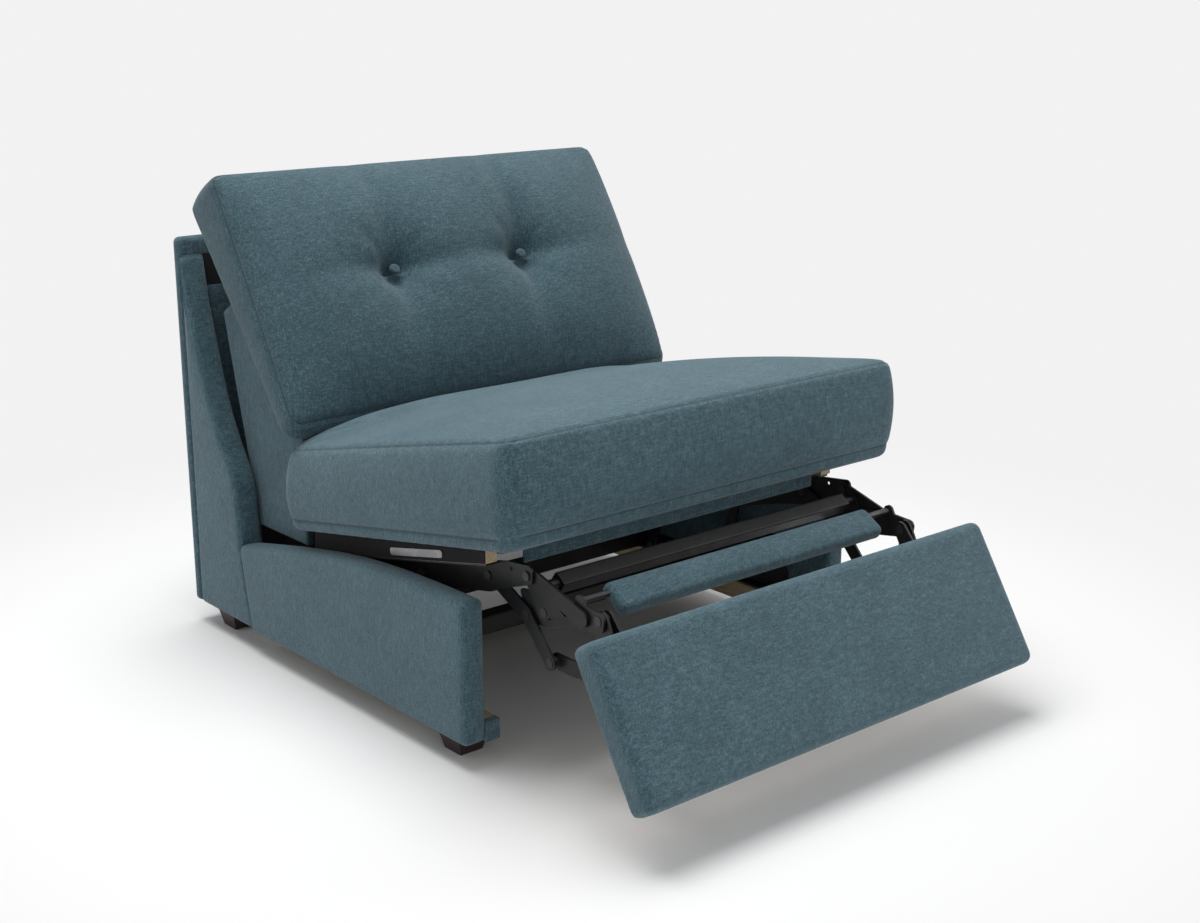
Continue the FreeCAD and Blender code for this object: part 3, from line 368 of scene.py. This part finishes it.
def nearestWay(points, line):
    # shortest distance from each point to a dense line of points, a block of points at a time
    ways = np.empty(len(points))
    for start in range(0, len(points), blockSize):
        block = points[start:start + blockSize]
        square = (block ** 2).sum(1)[:, None] + (line ** 2).sum(1)[None, :] - 2 * block @ line.T
        ways[start:start + blockSize] = np.sqrt(np.maximum(square.min(axis=1), 0))
    return ways


def remeshed(thing, voxel):
    cut = thing.modifiers.new("voxels", "REMESH")
    cut.mode = "VOXEL"
    cut.voxel_size = voxel
    graph = bpy.context.evaluated_depsgraph_get()
    mesh = bpy.data.meshes.new_from_object(thing.evaluated_get(graph))
    thing.modifiers.clear()
    old = thing.data
    thing.data = mesh
    bpy.data.meshes.remove(old)
    return thing


def inflated(thing, held, pressure, cap):
    # cloth with pressure inside and no gravity, each point's move capped
    # points held by more than lightPin stay put, the others with any hold are pinned lightly
    group = thing.vertex_groups.new(name="held")
    group.add(np.nonzero((held > 0) & (held <= lightPin))[0].tolist(), lightPin, "REPLACE")
    group.add(np.nonzero(held > lightPin)[0].tolist(), 1.0, "REPLACE")
    cloth = thing.modifiers.new("cloth", "CLOTH")
    cloth.settings.quality = 5
    cloth.settings.mass = 0.3
    cloth.settings.use_pressure = True
    cloth.settings.uniform_pressure_force = pressure
    cloth.settings.effector_weights.gravity = 0
    cloth.settings.vertex_group_mass = "held"
    cloth.collision_settings.use_collision = False
    cloth.collision_settings.use_self_collision = False
    for step in range(1, clothSteps + 1):
        scene.frame_set(step)
    graph = bpy.context.evaluated_depsgraph_get()
    moved = coordinates(thing.evaluated_get(graph).data)
    start = coordinates(thing.data)
    shift = moved - start
    size = np.linalg.norm(shift, axis=1)
    shift *= (np.minimum(size, cap) / np.maximum(size, 1e-9))[:, None]
    thing.modifiers.clear()
    thing.vertex_groups.clear()
    thing.data.vertices.foreach_set("co", (start + shift).ravel())
    thing.data.update()
    scene.frame_set(1)
    return thing


def sewn(thing, ways, groove, width):
    # points near a seam sink along their normal by groove * exp(-(way / width)^2)
    # seamNear runs from 1 on the seam to 0 at seamReach, for the cloth's shading
    sink = (groove * np.exp(-(ways / width) ** 2))[:, None]
    place = coordinates(thing.data) - coordinates(thing.data, "normal") * sink
    thing.data.vertices.foreach_set("co", place.ravel())
    near = thing.data.attributes.new("seamNear", "FLOAT", "POINT")
    near.data.foreach_set("value", 1 - np.clip(ways / seamReach, 0, 1))
    thing.data.polygons.foreach_set("use_smooth", np.ones(len(thing.data.polygons), dtype=bool))
    thing.data.update()
    return thing


seatSettings = {
    "halfWidth": 0.391, "front": -0.312, "rear": 0.263, "bottomRear": 0.256,
    "pitch": math.radians(10.5), "rearHeight": 0.131, "frontHeight": 0.155, "crown": 0.034,
    "bulge": 0.012, "corner": 0.022,
    "voxel": 0.006, "pressure": 4.0, "cap": 0.012, "groove": 0.0042, "grooveWidth": 0.0040,
    "sag": 0.009, "sagSide": (0.358, 0.022), "sagFront": (-0.256, 0.045),
    "rearPlump": 0.026, "plumpPlace": (0.222, 0.055), "plumpHalf": 0.384,
    "foldLift": 0.004, "topLip": 0.006, "lowSeam": 0.019, "fill": 0.75, "keep": 0.88,
}


def seatBottom(y):
    return seatSettings["bottomRear"] + (seatSettings["rear"] - y) * math.tan(seatSettings["pitch"])


def overhang(x, y):
    # the rim droops where no frame carries it: sag * smooth step beyond the rails and the front rail
    s = seatSettings
    side = np.clip((np.abs(x) - s["sagSide"][0]) / s["sagSide"][1], 0, 1)
    front = np.clip((s["sagFront"][0] - y) / s["sagFront"][1], 0, 1)
    reach = np.maximum(side, front)
    return s["sag"] * reach * reach * (3 - 2 * reach)


def makeSeatCushion(s):
    # plan rings of a rounded rectangle: underside, bulged border, then a crowned top,
    # crown * (1 - |x|^3)^0.6 * (1 - |y|^2.2)^0.9 in halves of the width and depth
    signA, signB, arcA, arcB = roundedRing(70, 50, 8)
    middleY, halfY = (s["front"] + s["rear"]) / 2, (s["rear"] - s["front"]) / 2
    insets = np.array([
        0, 0.003, 0.008, 0.016, 0.028, 0.045, 0.07, 0.10, 0.14, 0.18, 0.22, 0.25, 0.275,
        halfY - 0.0005])

    def ring(inset):
        halfX, half = s["halfWidth"] - inset, halfY - inset
        bend = max(s["corner"] - inset * 0.6, 0.0005) if inset >= 0 else s["corner"] - inset
        bend = min(bend, half * 0.98)
        return (halfX - bend) * signA + bend * arcA, middleY + (half - bend) * signB + bend * arcB

    def border(y):  # height of the border at a depth
        share = (s["rear"] - y) / (s["rear"] - s["front"])
        return s["rearHeight"] + (s["frontHeight"] - s["rearHeight"]) * share

    rows = []
    for inset in insets[::-1]:
        x, y = ring(inset)
        lift = s["foldLift"] * np.exp(-inset / 0.006)
        rows.append((x, y, seatBottom(y) + lift - overhang(x, y)))
    for share in np.linspace(0.04, 0.96, 17):
        x, y = ring(-s["bulge"] * math.sin(math.pi * share) ** 0.8)
        wall = (border(y) - s["foldLift"] - s["topLip"]) * share
        rows.append((x, y, seatBottom(y) + s["foldLift"] + wall - overhang(x, y) * (1 - share)))
    for inset in insets:
        x, y = ring(inset)
        across = np.clip(1 - np.abs(x / s["halfWidth"]) ** 3, 0, 1) ** 0.6
        depthwise = np.clip(1 - np.abs((y - middleY) / halfY) ** 2.2, 0, 1) ** 0.9
        lip = s["topLip"] * math.exp(-inset / 0.008)
        plump = s["rearPlump"] * np.exp(-((y - s["plumpPlace"][0]) / s["plumpPlace"][1]) ** 2)
        plump = plump * np.clip(1 - np.abs(x / s["plumpHalf"]) ** 8, 0, 1)
        plump = plump * np.clip(inset / 0.02, 0, 1)
        rows.append((x, y, seatBottom(y) + border(y) - lip + s["crown"] * across * depthwise + plump))
    rings = np.stack([np.stack(row, axis=-1) for row in rows])
    thing = remeshed(closedSkin("seatCushion", rings), s["voxel"])
    # seam lines: the top rim, and a lower one above the rolled bottom edge
    dense = roundedRing(420, 320, 24)

    def rim(inset, lift):
        halfX, half, bend = s["halfWidth"] - inset, halfY - inset, s["corner"]
        x = (halfX - bend) * dense[0] + bend * dense[2]
        y = middleY + (half - bend) * dense[1] + bend * dense[3]
        return np.stack([x, y, seatBottom(y) + lift(y)], axis=-1)

    topSeam = rim(0.002, lambda y: border(y) - s["topLip"])
    lowSeam = rim(-0.006, lambda y: s["lowSeam"])
    lowSeam[:, 2] -= overhang(lowSeam[:, 0], lowSeam[:, 1]) * 0.88
    before = coordinates(thing.data)
    ways = nearestWay(before, np.vstack([topSeam, lowSeam]))
    # held: the underside fully, the rear lightly, the seams fully
    under = before[:, 2] - seatBottom(before[:, 1]) + overhang(before[:, 0], before[:, 1])
    held = np.clip(1 - (under - s["foldLift"]) / 0.012, 0, 1)
    held = np.maximum(held, np.clip(1 - (s["rear"] - before[:, 1]) / 0.02, 0, 1) * 0.3)
    held = np.maximum(held, np.where(ways < 0.005, seamHold, 0.0))
    inflated(thing, held, s["pressure"], s["cap"])
    sewn(thing, ways, s["groove"], s["grooveWidth"])
    finishPiece(thing, "seat", ("seat_cushion",), levels=1)
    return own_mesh(thing)


makeSeatCushion(seatSettings)
print("seat cushion made")


backSettings = {
    "halfWidth": 0.397, "height": 0.432, "footDepth": 0.046, "topDepth": 0.104, "crown": 0.052,
    "lean": math.radians(36.0), "recline": 0.018, "foot": (0.268, 0.402), "corner": 0.020, "lip": 0.003,
    "tuftX": 0.133, "tuftHeight": 0.224, "tuftPull": 0.046, "foldUp": 0.014, "foldAcross": 0.013,
    "foldRays": 0.004, "buttonRadius": 0.0092, "buttonDepth": 0.0955, "footPlump": 0.012,
    "voxel": 0.006, "pressure": 4.0, "cap": 0.010, "groove": 0.0042, "grooveWidth": 0.0040, "fill": 0.8,
}


def backPlace(x, height, depth):
    # up the leaning rear face by height and out of it by depth
    # the loose top rests further back, by recline * (height / full height)^1.5
    lean, foot = backSettings["lean"], backSettings["foot"]
    depth = depth - backSettings["recline"] * np.clip(height / backSettings["height"], 0, 1) ** 1.5
    y = foot[0] + math.sin(lean) * height - math.cos(lean) * depth
    z = foot[1] + math.cos(lean) * height + math.sin(lean) * depth
    return np.stack([x, y, z], axis=-1)


def backEdge(height):
    s = backSettings
    return s["footDepth"] + (s["topDepth"] - s["footDepth"]) * height / s["height"]


def backFront(x, height):
    # edge + crown * (1 - |x|^3.4)^0.6 (1 - |h|^3)^0.9, less a dimple and four folds at each button
    s = backSettings
    half = s["height"] / 2
    across = np.clip(1 - np.abs(x / s["halfWidth"]) ** 3.4, 0, 1) ** 0.6
    upward = np.clip(1 - np.abs((height - half) / half) ** 3, 0, 1) ** 0.9
    front = backEdge(height) + s["crown"] * across * upward
    for side in (-1, 1):
        dx, dh = x - side * s["tuftX"], height - s["tuftHeight"]
        way = np.hypot(dx, dh)
        front = front - s["tuftPull"] * np.exp(-(way / 0.040) ** 1.15)
        valleyUp = np.exp(-(dx / 0.024) ** 2) * np.exp(-np.abs(dh) / 0.14)
        valleyAcross = np.exp(-(dh / 0.022) ** 2) * np.exp(-np.abs(dx) / 0.11)
        ray = np.cos(4 * np.arctan2(dh, dx) + 0.5) ** 8 * np.exp(-((way - 0.045) / 0.035) ** 2)
        front = front - s["foldUp"] * valleyUp - s["foldAcross"] * valleyAcross - s["foldRays"] * ray
    return front


def makeBackCushion(s):
    # rings of a rounded rectangle in width and height: flat rear, border, then the tufted front
    signA, signB, arcA, arcB = roundedRing(90, 60, 8)
    half = s["height"] / 2
    insets = np.concatenate([[0, 0.003, 0.008, 0.015], np.linspace(0.024, half - 0.0005, 26)])

    def ring(inset, steps=(signA, signB, arcA, arcB)):
        halfX, halfH = s["halfWidth"] - inset, half - inset
        bend = min(max(s["corner"] - inset * 0.6, 0.0005), halfH * 0.98)
        x = (halfX - bend) * steps[0] + bend * steps[2]
        return x, half + (halfH - bend) * steps[1] + bend * steps[3]

    rows = []
    for inset in insets[::-1]:
        x, height = ring(inset)
        rows.append(backPlace(x, height, s["lip"] * math.exp(-inset / 0.005)))
    for share in np.linspace(0.05, 0.95, 11):
        x, height = ring(-0.004 * math.sin(math.pi * share))
        plump = s["footPlump"] * math.sin(math.pi * share ** 0.8)
        height = height - plump * np.clip(1 - height / 0.06, 0, 1)
        wall = (backEdge(np.maximum(height, 0)) - 2 * s["lip"]) * share
        rows.append(backPlace(x, height, s["lip"] + wall))
    for inset in insets:
        x, height = ring(inset)
        lip = s["lip"] * math.exp(-inset / 0.006)
        rows.append(backPlace(x, height, backFront(x, height) - lip))
    thing = remeshed(closedSkin("backCushion", np.stack(rows)), s["voxel"])
    dense = roundedRing(420, 260, 24)
    x, height = ring(0.002, dense)
    frontRim = backPlace(x, height, backEdge(height) - s["lip"])
    rearRim = backPlace(x, height, 0.004)
    before = coordinates(thing.data)
    ways = nearestWay(before, np.vstack([frontRim, rearRim]))
    lean = s["lean"]  # each point's height and depth, the way back from backPlace
    dy, dz = before[:, 1] - s["foot"][0], before[:, 2] - s["foot"][1]
    height = math.sin(lean) * dy + math.cos(lean) * dz
    depth = math.sin(lean) * dz - math.cos(lean) * dy
    depth = depth + s["recline"] * np.clip(height / s["height"], 0, 1) ** 1.5
    tuft = np.minimum(
        np.hypot(before[:, 0] - s["tuftX"], height - s["tuftHeight"]),
        np.hypot(before[:, 0] + s["tuftX"], height - s["tuftHeight"]))
    # held: the rear face and the tufts fully, the foot lightly, the seams fully
    held = np.clip(1 - (depth - 0.004) / 0.012, 0, 1)
    held = np.maximum(held, np.where((tuft < 0.024) & (depth > 0.03), 1.0, 0.0))
    held = np.maximum(held, np.clip(1 - height / 0.03, 0, 1) * 0.3)
    held = np.maximum(held, np.where(ways < 0.005, seamHold, 0.0))
    inflated(thing, held, s["pressure"], s["cap"])
    sewn(thing, ways, s["groove"], s["grooveWidth"])
    # covered in the darker copy of the cloth, which is painted shade
    return finishPiece(
        thing, "back", ("back_cushion",), levels=1, material=shadedBackChenille)


def makeButtons(s):
    # covered button: domed profile carried round the axis that leaves the cushion, gathered at its rim
    reach = np.array([0.55, 0.90, 1.0, 1.02, 0.98, 0.90, 0.76, 0.55, 0.32, 0.12]) * s["buttonRadius"]
    rise = np.array([-0.004, -0.003, -0.001, 0.0012, 0.0028, 0.0038, 0.0046, 0.0051, 0.0054, 0.0055])
    turn = np.linspace(0, 2 * np.pi, 36, endpoint=False)
    buttons = []
    for side, name in ((-1, "tuftButtonLeft"), (1, "tuftButtonRight")):
        gather = 1 + 0.012 * np.cos(9 * turn)[None, :] * np.clip(rise[:, None] / 0.003, 0, 1)
        x = side * s["tuftX"] + reach[:, None] * np.cos(turn)[None, :] * gather
        height = s["tuftHeight"] + reach[:, None] * np.sin(turn)[None, :] * gather
        depth = s["buttonDepth"] + rise[:, None]
        buttons.append(closedSkin(name, backPlace(x, height, depth)))
    # the buttons take the same darker cloth as the back cushion, which is painted shade
    for button in buttons:
        finishPiece(button, "back", ("tuft_buttons",), levels=1, material=shadedBackChenille)


makeBackCushion(backSettings)
makeButtons(backSettings)
print("back cushion and buttons made")


bodySettings = {
    "half": 0.400, "floorGap": 0.0385, "round": 0.010, "railThick": 0.028, "boardThick": 0.012,
    "railFront": -0.215, "railLength": 0.62, "railHeight": 0.2205, "railRearHeight": 0.140,
    "slopeStart": 0.044, "slopeBend": 0.016, "wingGap": 0.0006, "wingTop": 0.655, "wingThick": 0.044,
    "wingInset": 0.004, "shellFront": 0.581, "shellRear": 0.609, "shellBulge": 0.006,
    "shellTop": 0.6845, "shellGap": 0.0004,
    "wingHeights": (0.0385, 0.182, 0.289, 0.348, 0.420, 0.565, 0.655),
    "wingFronts": (0.397, 0.427, 0.433, 0.476, 0.512, 0.556, 0.578),
}


def wingFrontLow(z):
    # the wing's straight front edge from the floor gap up to its waist
    b = bodySettings
    foot, waist = b["wingFronts"][:2]
    return foot + (waist - foot) * (z - b["floorGap"]) / (b["wingHeights"][1] - b["floorGap"])


def makeSideRail(side, name, node):
    # rail and inner board under one cover; the top edge slopes down to the wing, its bend eased
    # over slopeBend, and the rear end follows the wing's front edge
    b = bodySettings
    stations = endStations(0.0, b["railLength"], b["round"], 6, 60)

    def limits(t):
        top = b["floorGap"] + b["railHeight"]
        rearTop = b["floorGap"] + b["railRearHeight"]
        fall = (top - rearTop) / (wingFrontLow(rearTop) - b["slopeStart"])
        slope = (b["railFront"] + t - b["slopeStart"]) * fall
        high = top - b["slopeBend"] * np.log1p(np.exp(slope / b["slopeBend"]))
        low, inner, outer = level(
            t, b["floorGap"], b["half"] - b["railThick"] - b["boardThick"], b["half"])
        return low, high, inner, outer

    def place(t, a, c):
        share = t / b["railLength"]
        y = b["railFront"] + share * (wingFrontLow(a) - b["wingGap"] - b["railFront"])
        return side * c, y, a

    rail = paddedBlock(name, stations, limits, place, b["round"], (30, 6), (0.0, 0.0015))
    return finishPiece(rail, "base", (node, "rail_boards"))


def makeWing(side, name, node):
    # the front edge's corners are rounded by a running mean, apart from its straight foot
    b = bodySettings
    dense = np.linspace(b["floorGap"], b["wingTop"], 400)
    line = np.interp(dense, b["wingHeights"], b["wingFronts"])
    margin = 30
    window = np.hanning(2 * margin + 1)
    soft = np.convolve(np.pad(line, margin, mode="edge"), window / window.sum(), mode="valid")
    soft[:margin] = line[:margin]
    stations = endStations(b["floorGap"], b["wingTop"], b["round"], 6, 70)
    outer = b["half"] - b["wingInset"]

    def limits(t):
        return (np.interp(t, dense, soft), *level(t, b["shellFront"], outer - b["wingThick"], outer))

    def place(t, a, c):
        return side * c, a, t

    wing = paddedBlock(name, stations, limits, place, b["round"], (20, 8), (0.001, 0.0015))
    return finishPiece(wing, "base", (node,))


def makeShell():
    b = bodySettings
    half = b["half"] - b["wingInset"]
    stations = endStations(b["floorGap"], b["shellTop"], b["round"], 6, 70)

    def limits(t):
        return level(t, -half, half, b["shellFront"] + b["shellGap"], b["shellRear"] - b["shellBulge"])

    def place(t, a, c):  # the rear face bows out by bulge * (1 - (x / half)^2)
        share = (c - b["shellFront"]) / (b["shellRear"] - b["shellBulge"] - b["shellFront"])
        return a, c + b["shellBulge"] * np.clip(share, 0, 1) * (1 - (a / half) ** 2), t

    shell = paddedBlock("shellBack", stations, limits, place, b["round"], (60, 6))
    return finishPiece(shell, "base", ("shell_back",))


wrapSettings = {"y": (-0.2166, -0.2040), "z": (0.0378, 0.0712), "x": (0.3362, 0.3615), "round": 0.003}


def makeCleatWrap(side, name):
    # fabric turned round the front end of the cleat
    w = wrapSettings
    stations = endStations(*w["y"], w["round"], 4, 8)

    def limits(t):
        return level(t, *w["z"], *w["x"])

    def place(t, a, c):
        return side * c, t, a

    wrap = paddedBlock(name, stations, limits, place, w["round"], (8, 8))
    return finishPiece(wrap, "base", ())


returnSettings = {"z": (0.10, 0.600), "x": (0.27, 0.3512), "y": (0.5766, 0.5779), "round": 0.0005}


def makeInnerReturn(side, name):
    # fabric strip stapled to the edge of the lining beside the wing
    r = returnSettings
    stations = endStations(*r["z"], r["round"], 3, 40)

    def limits(t):
        return level(t, *r["x"], *r["y"])

    def place(t, a, c):
        return side * a, c, t

    strip = paddedBlock(name, stations, limits, place, r["round"], (16, 3))
    return finishPiece(strip, "base", ())


sides = ((-1, "left"), (1, "right"))
for side, word in sides:
    makeCleatWrap(side, word + "CleatWrap")
for side, word in sides:
    makeInnerReturn(side, word + "InnerReturn")
for side, word in sides:
    makeSideRail(side, word + "SideRail", word + "_side_rail")
for side, word in sides:
    makeWing(side, word + "Wing", word + "_wing")
makeShell()
print("outer body made")


frontRailSettings = {
    "railHalf": 0.3358, "railY": (-0.224, -0.150), "railDrop": (-0.0262, -0.0002), "railRound": 0.005,
    "apronHalf": 0.298, "apronY": (-0.2285, -0.2235), "apronDrop": (-0.046, -0.0005),
    "apronRound": 0.002,
}


def makeFrontRail(s):
    # the rail, and a fabric apron that hangs from it between the footrest links
    def place(t, a, c):  # c is the drop below the cushion's sloping underside
        return t, a, seatBottom(a) + c

    def railLimits(t):
        return level(t, *s["railY"], *s["railDrop"])

    def apronLimits(t):
        return level(t, *s["apronY"], *s["apronDrop"])

    stations = endStations(-s["railHalf"], s["railHalf"], s["railRound"], 4, 60)
    rail = paddedBlock("seatFrontRail", stations, railLimits, place, s["railRound"], (12, 6))
    finishPiece(rail, "seat", ("seat_front_rail",))
    stations = endStations(-s["apronHalf"], s["apronHalf"], s["apronRound"], 4, 60)
    apron = paddedBlock("frontApron", stations, apronLimits, place, s["apronRound"], (4, 14))
    return finishPiece(apron, "seat", ())


railShadeSheetSettings = {
    "y": (-0.2145, 0.2455), "x": (0.3561, 0.3572), "endRound": 0.0008, "round": 0.0005,
    "low": 0.2615, "lowSlope": 0.2215, "bareStrip": 0.0075,
}


def makeRailShadeSheet(side, name):
    # painted shade: a black sheet on the outside of the seat rail stands in for the shade under the
    # cushion's overhang, with a strip of bare wood left above it
    s = railShadeSheetSettings
    stations = endStations(*s["y"], s["endRound"], 3, 50)

    def limits(t):
        return (s["low"] - s["lowSlope"] * t, seatBottom(t) - s["bareStrip"], *level(t, *s["x"]))

    def place(t, a, c):
        return side * c, t, a

    cover = paddedBlock(name, stations, limits, place, s["round"], (10, 3))
    return finishPiece(cover, "seat", (), material=lining)


stileSettings = {
    "z": (0.2055, 0.6195), "x": (0.3325, 0.3465), "round": 0.004,
    "frontHeights": (0.2055, 0.432, 0.560, 0.6195), "fronts": (0.288, 0.288, 0.3826, 0.4263),
    "rearHeights": (0.2055, 0.348, 0.450, 0.560, 0.6195),
    "rears": (0.443, 0.478, 0.5035, 0.530, 0.4360),
}


def makeStile(side, name):
    # upholstered side of the back frame: upright front, then along the cushion's leaning rear
    s = stileSettings
    stations = endStations(*s["z"], s["round"], 5, 60)

    def limits(t):
        front = np.interp(t, s["frontHeights"], s["fronts"])
        return (front, np.interp(t, s["rearHeights"], s["rears"]), *level(t, *s["x"]))

    def place(t, a, c):
        return side * c, a, t

    stile = paddedBlock(name, stations, limits, place, s["round"], (14, 4))
    return finishPiece(stile, "back", ("back_stiles",))


makeFrontRail(frontRailSettings)
# black sheets on the seat rails, painted shade under the cushion's overhang
for side, word in sides:
    makeRailShadeSheet(side, word + "RailShadeSheet")
for side, word in sides:
    makeStile(side, word + "BackStile")
print("seat rail and back stiles made")


panelSettings = {
    "half": 0.400, "height": 0.233, "depth": 0.045, "pocket": 0.0328, "pocketInset": 0.0138,
    "round": 0.014, "rearRound": 0.004, "corner": 0.014, "tilt": math.radians(-31.8),
    "centre": (-0.5529, 0.189), "crown": 0.003, "voxel": 0.0045,
}


def makePanel(p):
    # rings of a rounded rectangle from the crowned front round the edge to the pocket for the board
    steps = roundedRing(70, 30, 6)
    halfH = p["height"] / 2

    def ring(inset):
        bend = min(max(p["corner"] - inset, 0.0004), (halfH - inset) * 0.98)
        x = (p["half"] - inset - bend) * steps[0] + bend * steps[2]
        return x, (halfH - inset - bend) * steps[1] + bend * steps[3]

    turn = np.linspace(0, np.pi / 2, 8)
    rear = p["rearRound"]
    profile = [(inset, 0.0) for inset in np.linspace(halfH - 0.0005, p["round"] + 0.004, 16)]
    profile += list(zip(p["round"] * (1 - np.sin(turn)), p["round"] * (1 - np.cos(turn))))
    crowned = len(profile)
    profile += [(0.0, d) for d in np.linspace(p["round"], p["depth"] - rear, 6)[1:]]
    profile += list(zip(rear * (1 - np.cos(turn[1:])), p["depth"] - rear * (1 - np.sin(turn[1:]))))
    profile += [(p["pocketInset"], p["depth"]), (p["pocketInset"], p["pocket"])]
    profile += [(inset, p["pocket"]) for inset in np.linspace(0.03, halfH - 0.0005, 5)]
    rows = []
    cosine, sine = math.cos(p["tilt"]), math.sin(p["tilt"])
    for place, (inset, depth) in enumerate(profile):
        x, height = ring(inset)
        swell = np.clip(1 - (x / p["half"]) ** 4, 0, 1) ** 0.7
        swell = swell * np.clip(1 - (height / halfH) ** 2, 0, 1)
        out = depth - p["crown"] * swell if place < crowned else depth
        y = p["centre"][0] + out * cosine - height * sine
        z = p["centre"][1] + out * sine + height * cosine
        rows.append(np.stack([x, y, z], axis=-1))
    panel = remeshed(closedSkin("footrestPad", np.stack(rows)), p["voxel"])
    noSeam = np.full(len(panel.data.vertices), 1.0)
    sewn(panel, noSeam, 0.0, 0.01)
    return finishPiece(panel, "footrest", ("footrest_pad",), levels=1)


padSettings = {
    "half": 0.269, "width": 0.052, "thick": 0.024, "round": 0.010, "tilt": math.radians(31.0),
    "centre": (-0.384, 0.282),
}


def makeMidPad(p):
    stations = endStations(-p["half"], p["half"], p["round"], 8, 70)
    cosine, sine = math.cos(p["tilt"]), math.sin(p["tilt"])

    def limits(t):
        return level(t, -p["width"] / 2, p["width"] / 2, -p["thick"] / 2, p["thick"] / 2)

    def place(t, a, c):
        return t, p["centre"][0] + a * cosine - c * sine, p["centre"][1] + a * sine + c * cosine

    pad = paddedBlock("midPad", stations, limits, place, p["round"], (12, 6), (0.0, 0.002))
    return finishPiece(pad, "upper_ottoman_links", ("mid_pad",))


makePanel(panelSettings)
makeMidPad(padSettings)
print("footrest panel and narrow pad made")


stageSettings = {
    "backdrop": (0.888, 0.888, 0.888), "floorColour": (0.88, 0.88, 0.88), "clear": (0.85, 1.6),
    "grainColour": (0.86, 0.86, 0.86), "grainScale": 40.0, "grainShare": 0.02,
    "ambient": 0.46, "floorHalf": 14.0, "aim": (0.0, 0.0, 0.3),
    "lamps": (
        ("keyLight", (-0.3, 0.45, 3.1), 2.4, 84.0),
        ("frontFill", (-0.8, -3.8, 1.6), 2.6, 14.0),
        ("rightFill", (3.0, -1.6, 1.8), 2.2, 12.0)),
    "cameraSpot": (-1.719, -2.061, 1.099), "cameraTurn": (74.3744, 0.0, -40.44),
    "lens": 51.62, "sensorWidth": 36.0,
}


def makeFloor(s):
    # lit floor near the chair, fading over the distances in clear to the plain backdrop colour
    mesh = bpy.data.meshes.new("floor")
    half = s["floorHalf"]
    corners = [(-half, -half, 0), (half, -half, 0), (half, half, 0), (-half, half, 0)]
    mesh.from_pydata(corners, [], [(0, 1, 2, 3)])
    floor = bpy.data.objects.new("floor", mesh)
    scene.collection.objects.link(floor)
    paint = Finish("paleFloor")
    spot = paint.add("ShaderNodeTexCoord", output="Object")
    flat = paint.add("ShaderNodeVectorMath", {"operation": "MULTIPLY"}, {0: spot, 1: (1.0, 1.0, 0.0)})
    far = paint.add("ShaderNodeVectorMath", {"operation": "LENGTH"}, {0: flat}, "Value")
    fade = ((far - s["clear"][0]) / (s["clear"][1] - s["clear"][0])).limited()
    seen = paint.add("ShaderNodeLightPath", output="Is Camera Ray")
    grain = paint.noise(paint.place(), s["grainScale"])
    colour = paint.blend(grain * s["grainShare"], s["floorColour"], s["grainColour"])
    lit = paint.add("ShaderNodeBsdfDiffuse", None, {"Color": colour})
    plain = paint.add("ShaderNodeEmission", None, {"Color": (*s["backdrop"], 1.0), "Strength": 1.0})
    both = paint.add("ShaderNodeMixShader", None, {0: fade * seen, 1: lit, 2: plain})
    out = paint.tree.nodes.new("ShaderNodeOutputMaterial")
    paint.tree.links.new(both.socket, out.inputs["Surface"])
    mesh.materials.append(paint.material)
    return floor


def makeWorld(s):
    # the camera and reflections see the backdrop colour, and everything is lit by the ambient one
    world = bpy.data.worlds.new("studio")
    scene.world = world
    world.use_nodes = True
    tree = world.node_tree
    tree.nodes.clear()
    path = tree.nodes.new("ShaderNodeLightPath")
    seen = Wire(tree, path.outputs["Is Camera Ray"])
    mirrored = Wire(tree, path.outputs["Is Glossy Ray"])
    through = Wire(tree, path.outputs["Is Transmission Ray"])
    plain = (seen + mirrored + through).limited()
    ambient = tree.nodes.new("ShaderNodeBackground")
    ambient.inputs["Color"].default_value = (1, 1, 1, 1)
    ambient.inputs["Strength"].default_value = s["ambient"]
    shown = tree.nodes.new("ShaderNodeBackground")
    shown.inputs["Color"].default_value = (*s["backdrop"], 1.0)
    shown.inputs["Strength"].default_value = 1.0
    both = tree.nodes.new("ShaderNodeMixShader")
    out = tree.nodes.new("ShaderNodeOutputWorld")
    tree.links.new(plain.socket, both.inputs[0])
    tree.links.new(ambient.outputs[0], both.inputs[1])
    tree.links.new(shown.outputs[0], both.inputs[2])
    tree.links.new(both.outputs[0], out.inputs["Surface"])


def makeLamp(name, spot, aim, size, power):
    lamp = bpy.data.lights.new(name, "AREA")
    lamp.shape = "DISK"
    lamp.size = size
    lamp.energy = power
    thing = bpy.data.objects.new(name, lamp)
    scene.collection.objects.link(thing)
    thing.location = spot
    way = np.array(aim) - np.array(spot)
    flat = math.hypot(way[0], way[1])
    thing.rotation_euler = (math.atan2(flat, -way[2]), 0, math.atan2(-way[0], way[1]))
    return thing


def makeCamera(s):
    cameraData = bpy.data.cameras.new("camera")
    cameraData.lens = s["lens"]
    cameraData.sensor_width = s["sensorWidth"]
    camera = bpy.data.objects.new("camera", cameraData)
    scene.collection.objects.link(camera)
    camera.location = s["cameraSpot"]
    camera.rotation_euler = [math.radians(turn) for turn in s["cameraTurn"]]
    scene.camera = camera


makeFloor(stageSettings)
makeWorld(stageSettings)
for name, spot, size, power in stageSettings["lamps"]:
    makeLamp(name, spot, stageSettings["aim"], size, power)
makeCamera(stageSettings)
scene.view_settings.view_transform = "Standard"
print("stage made")
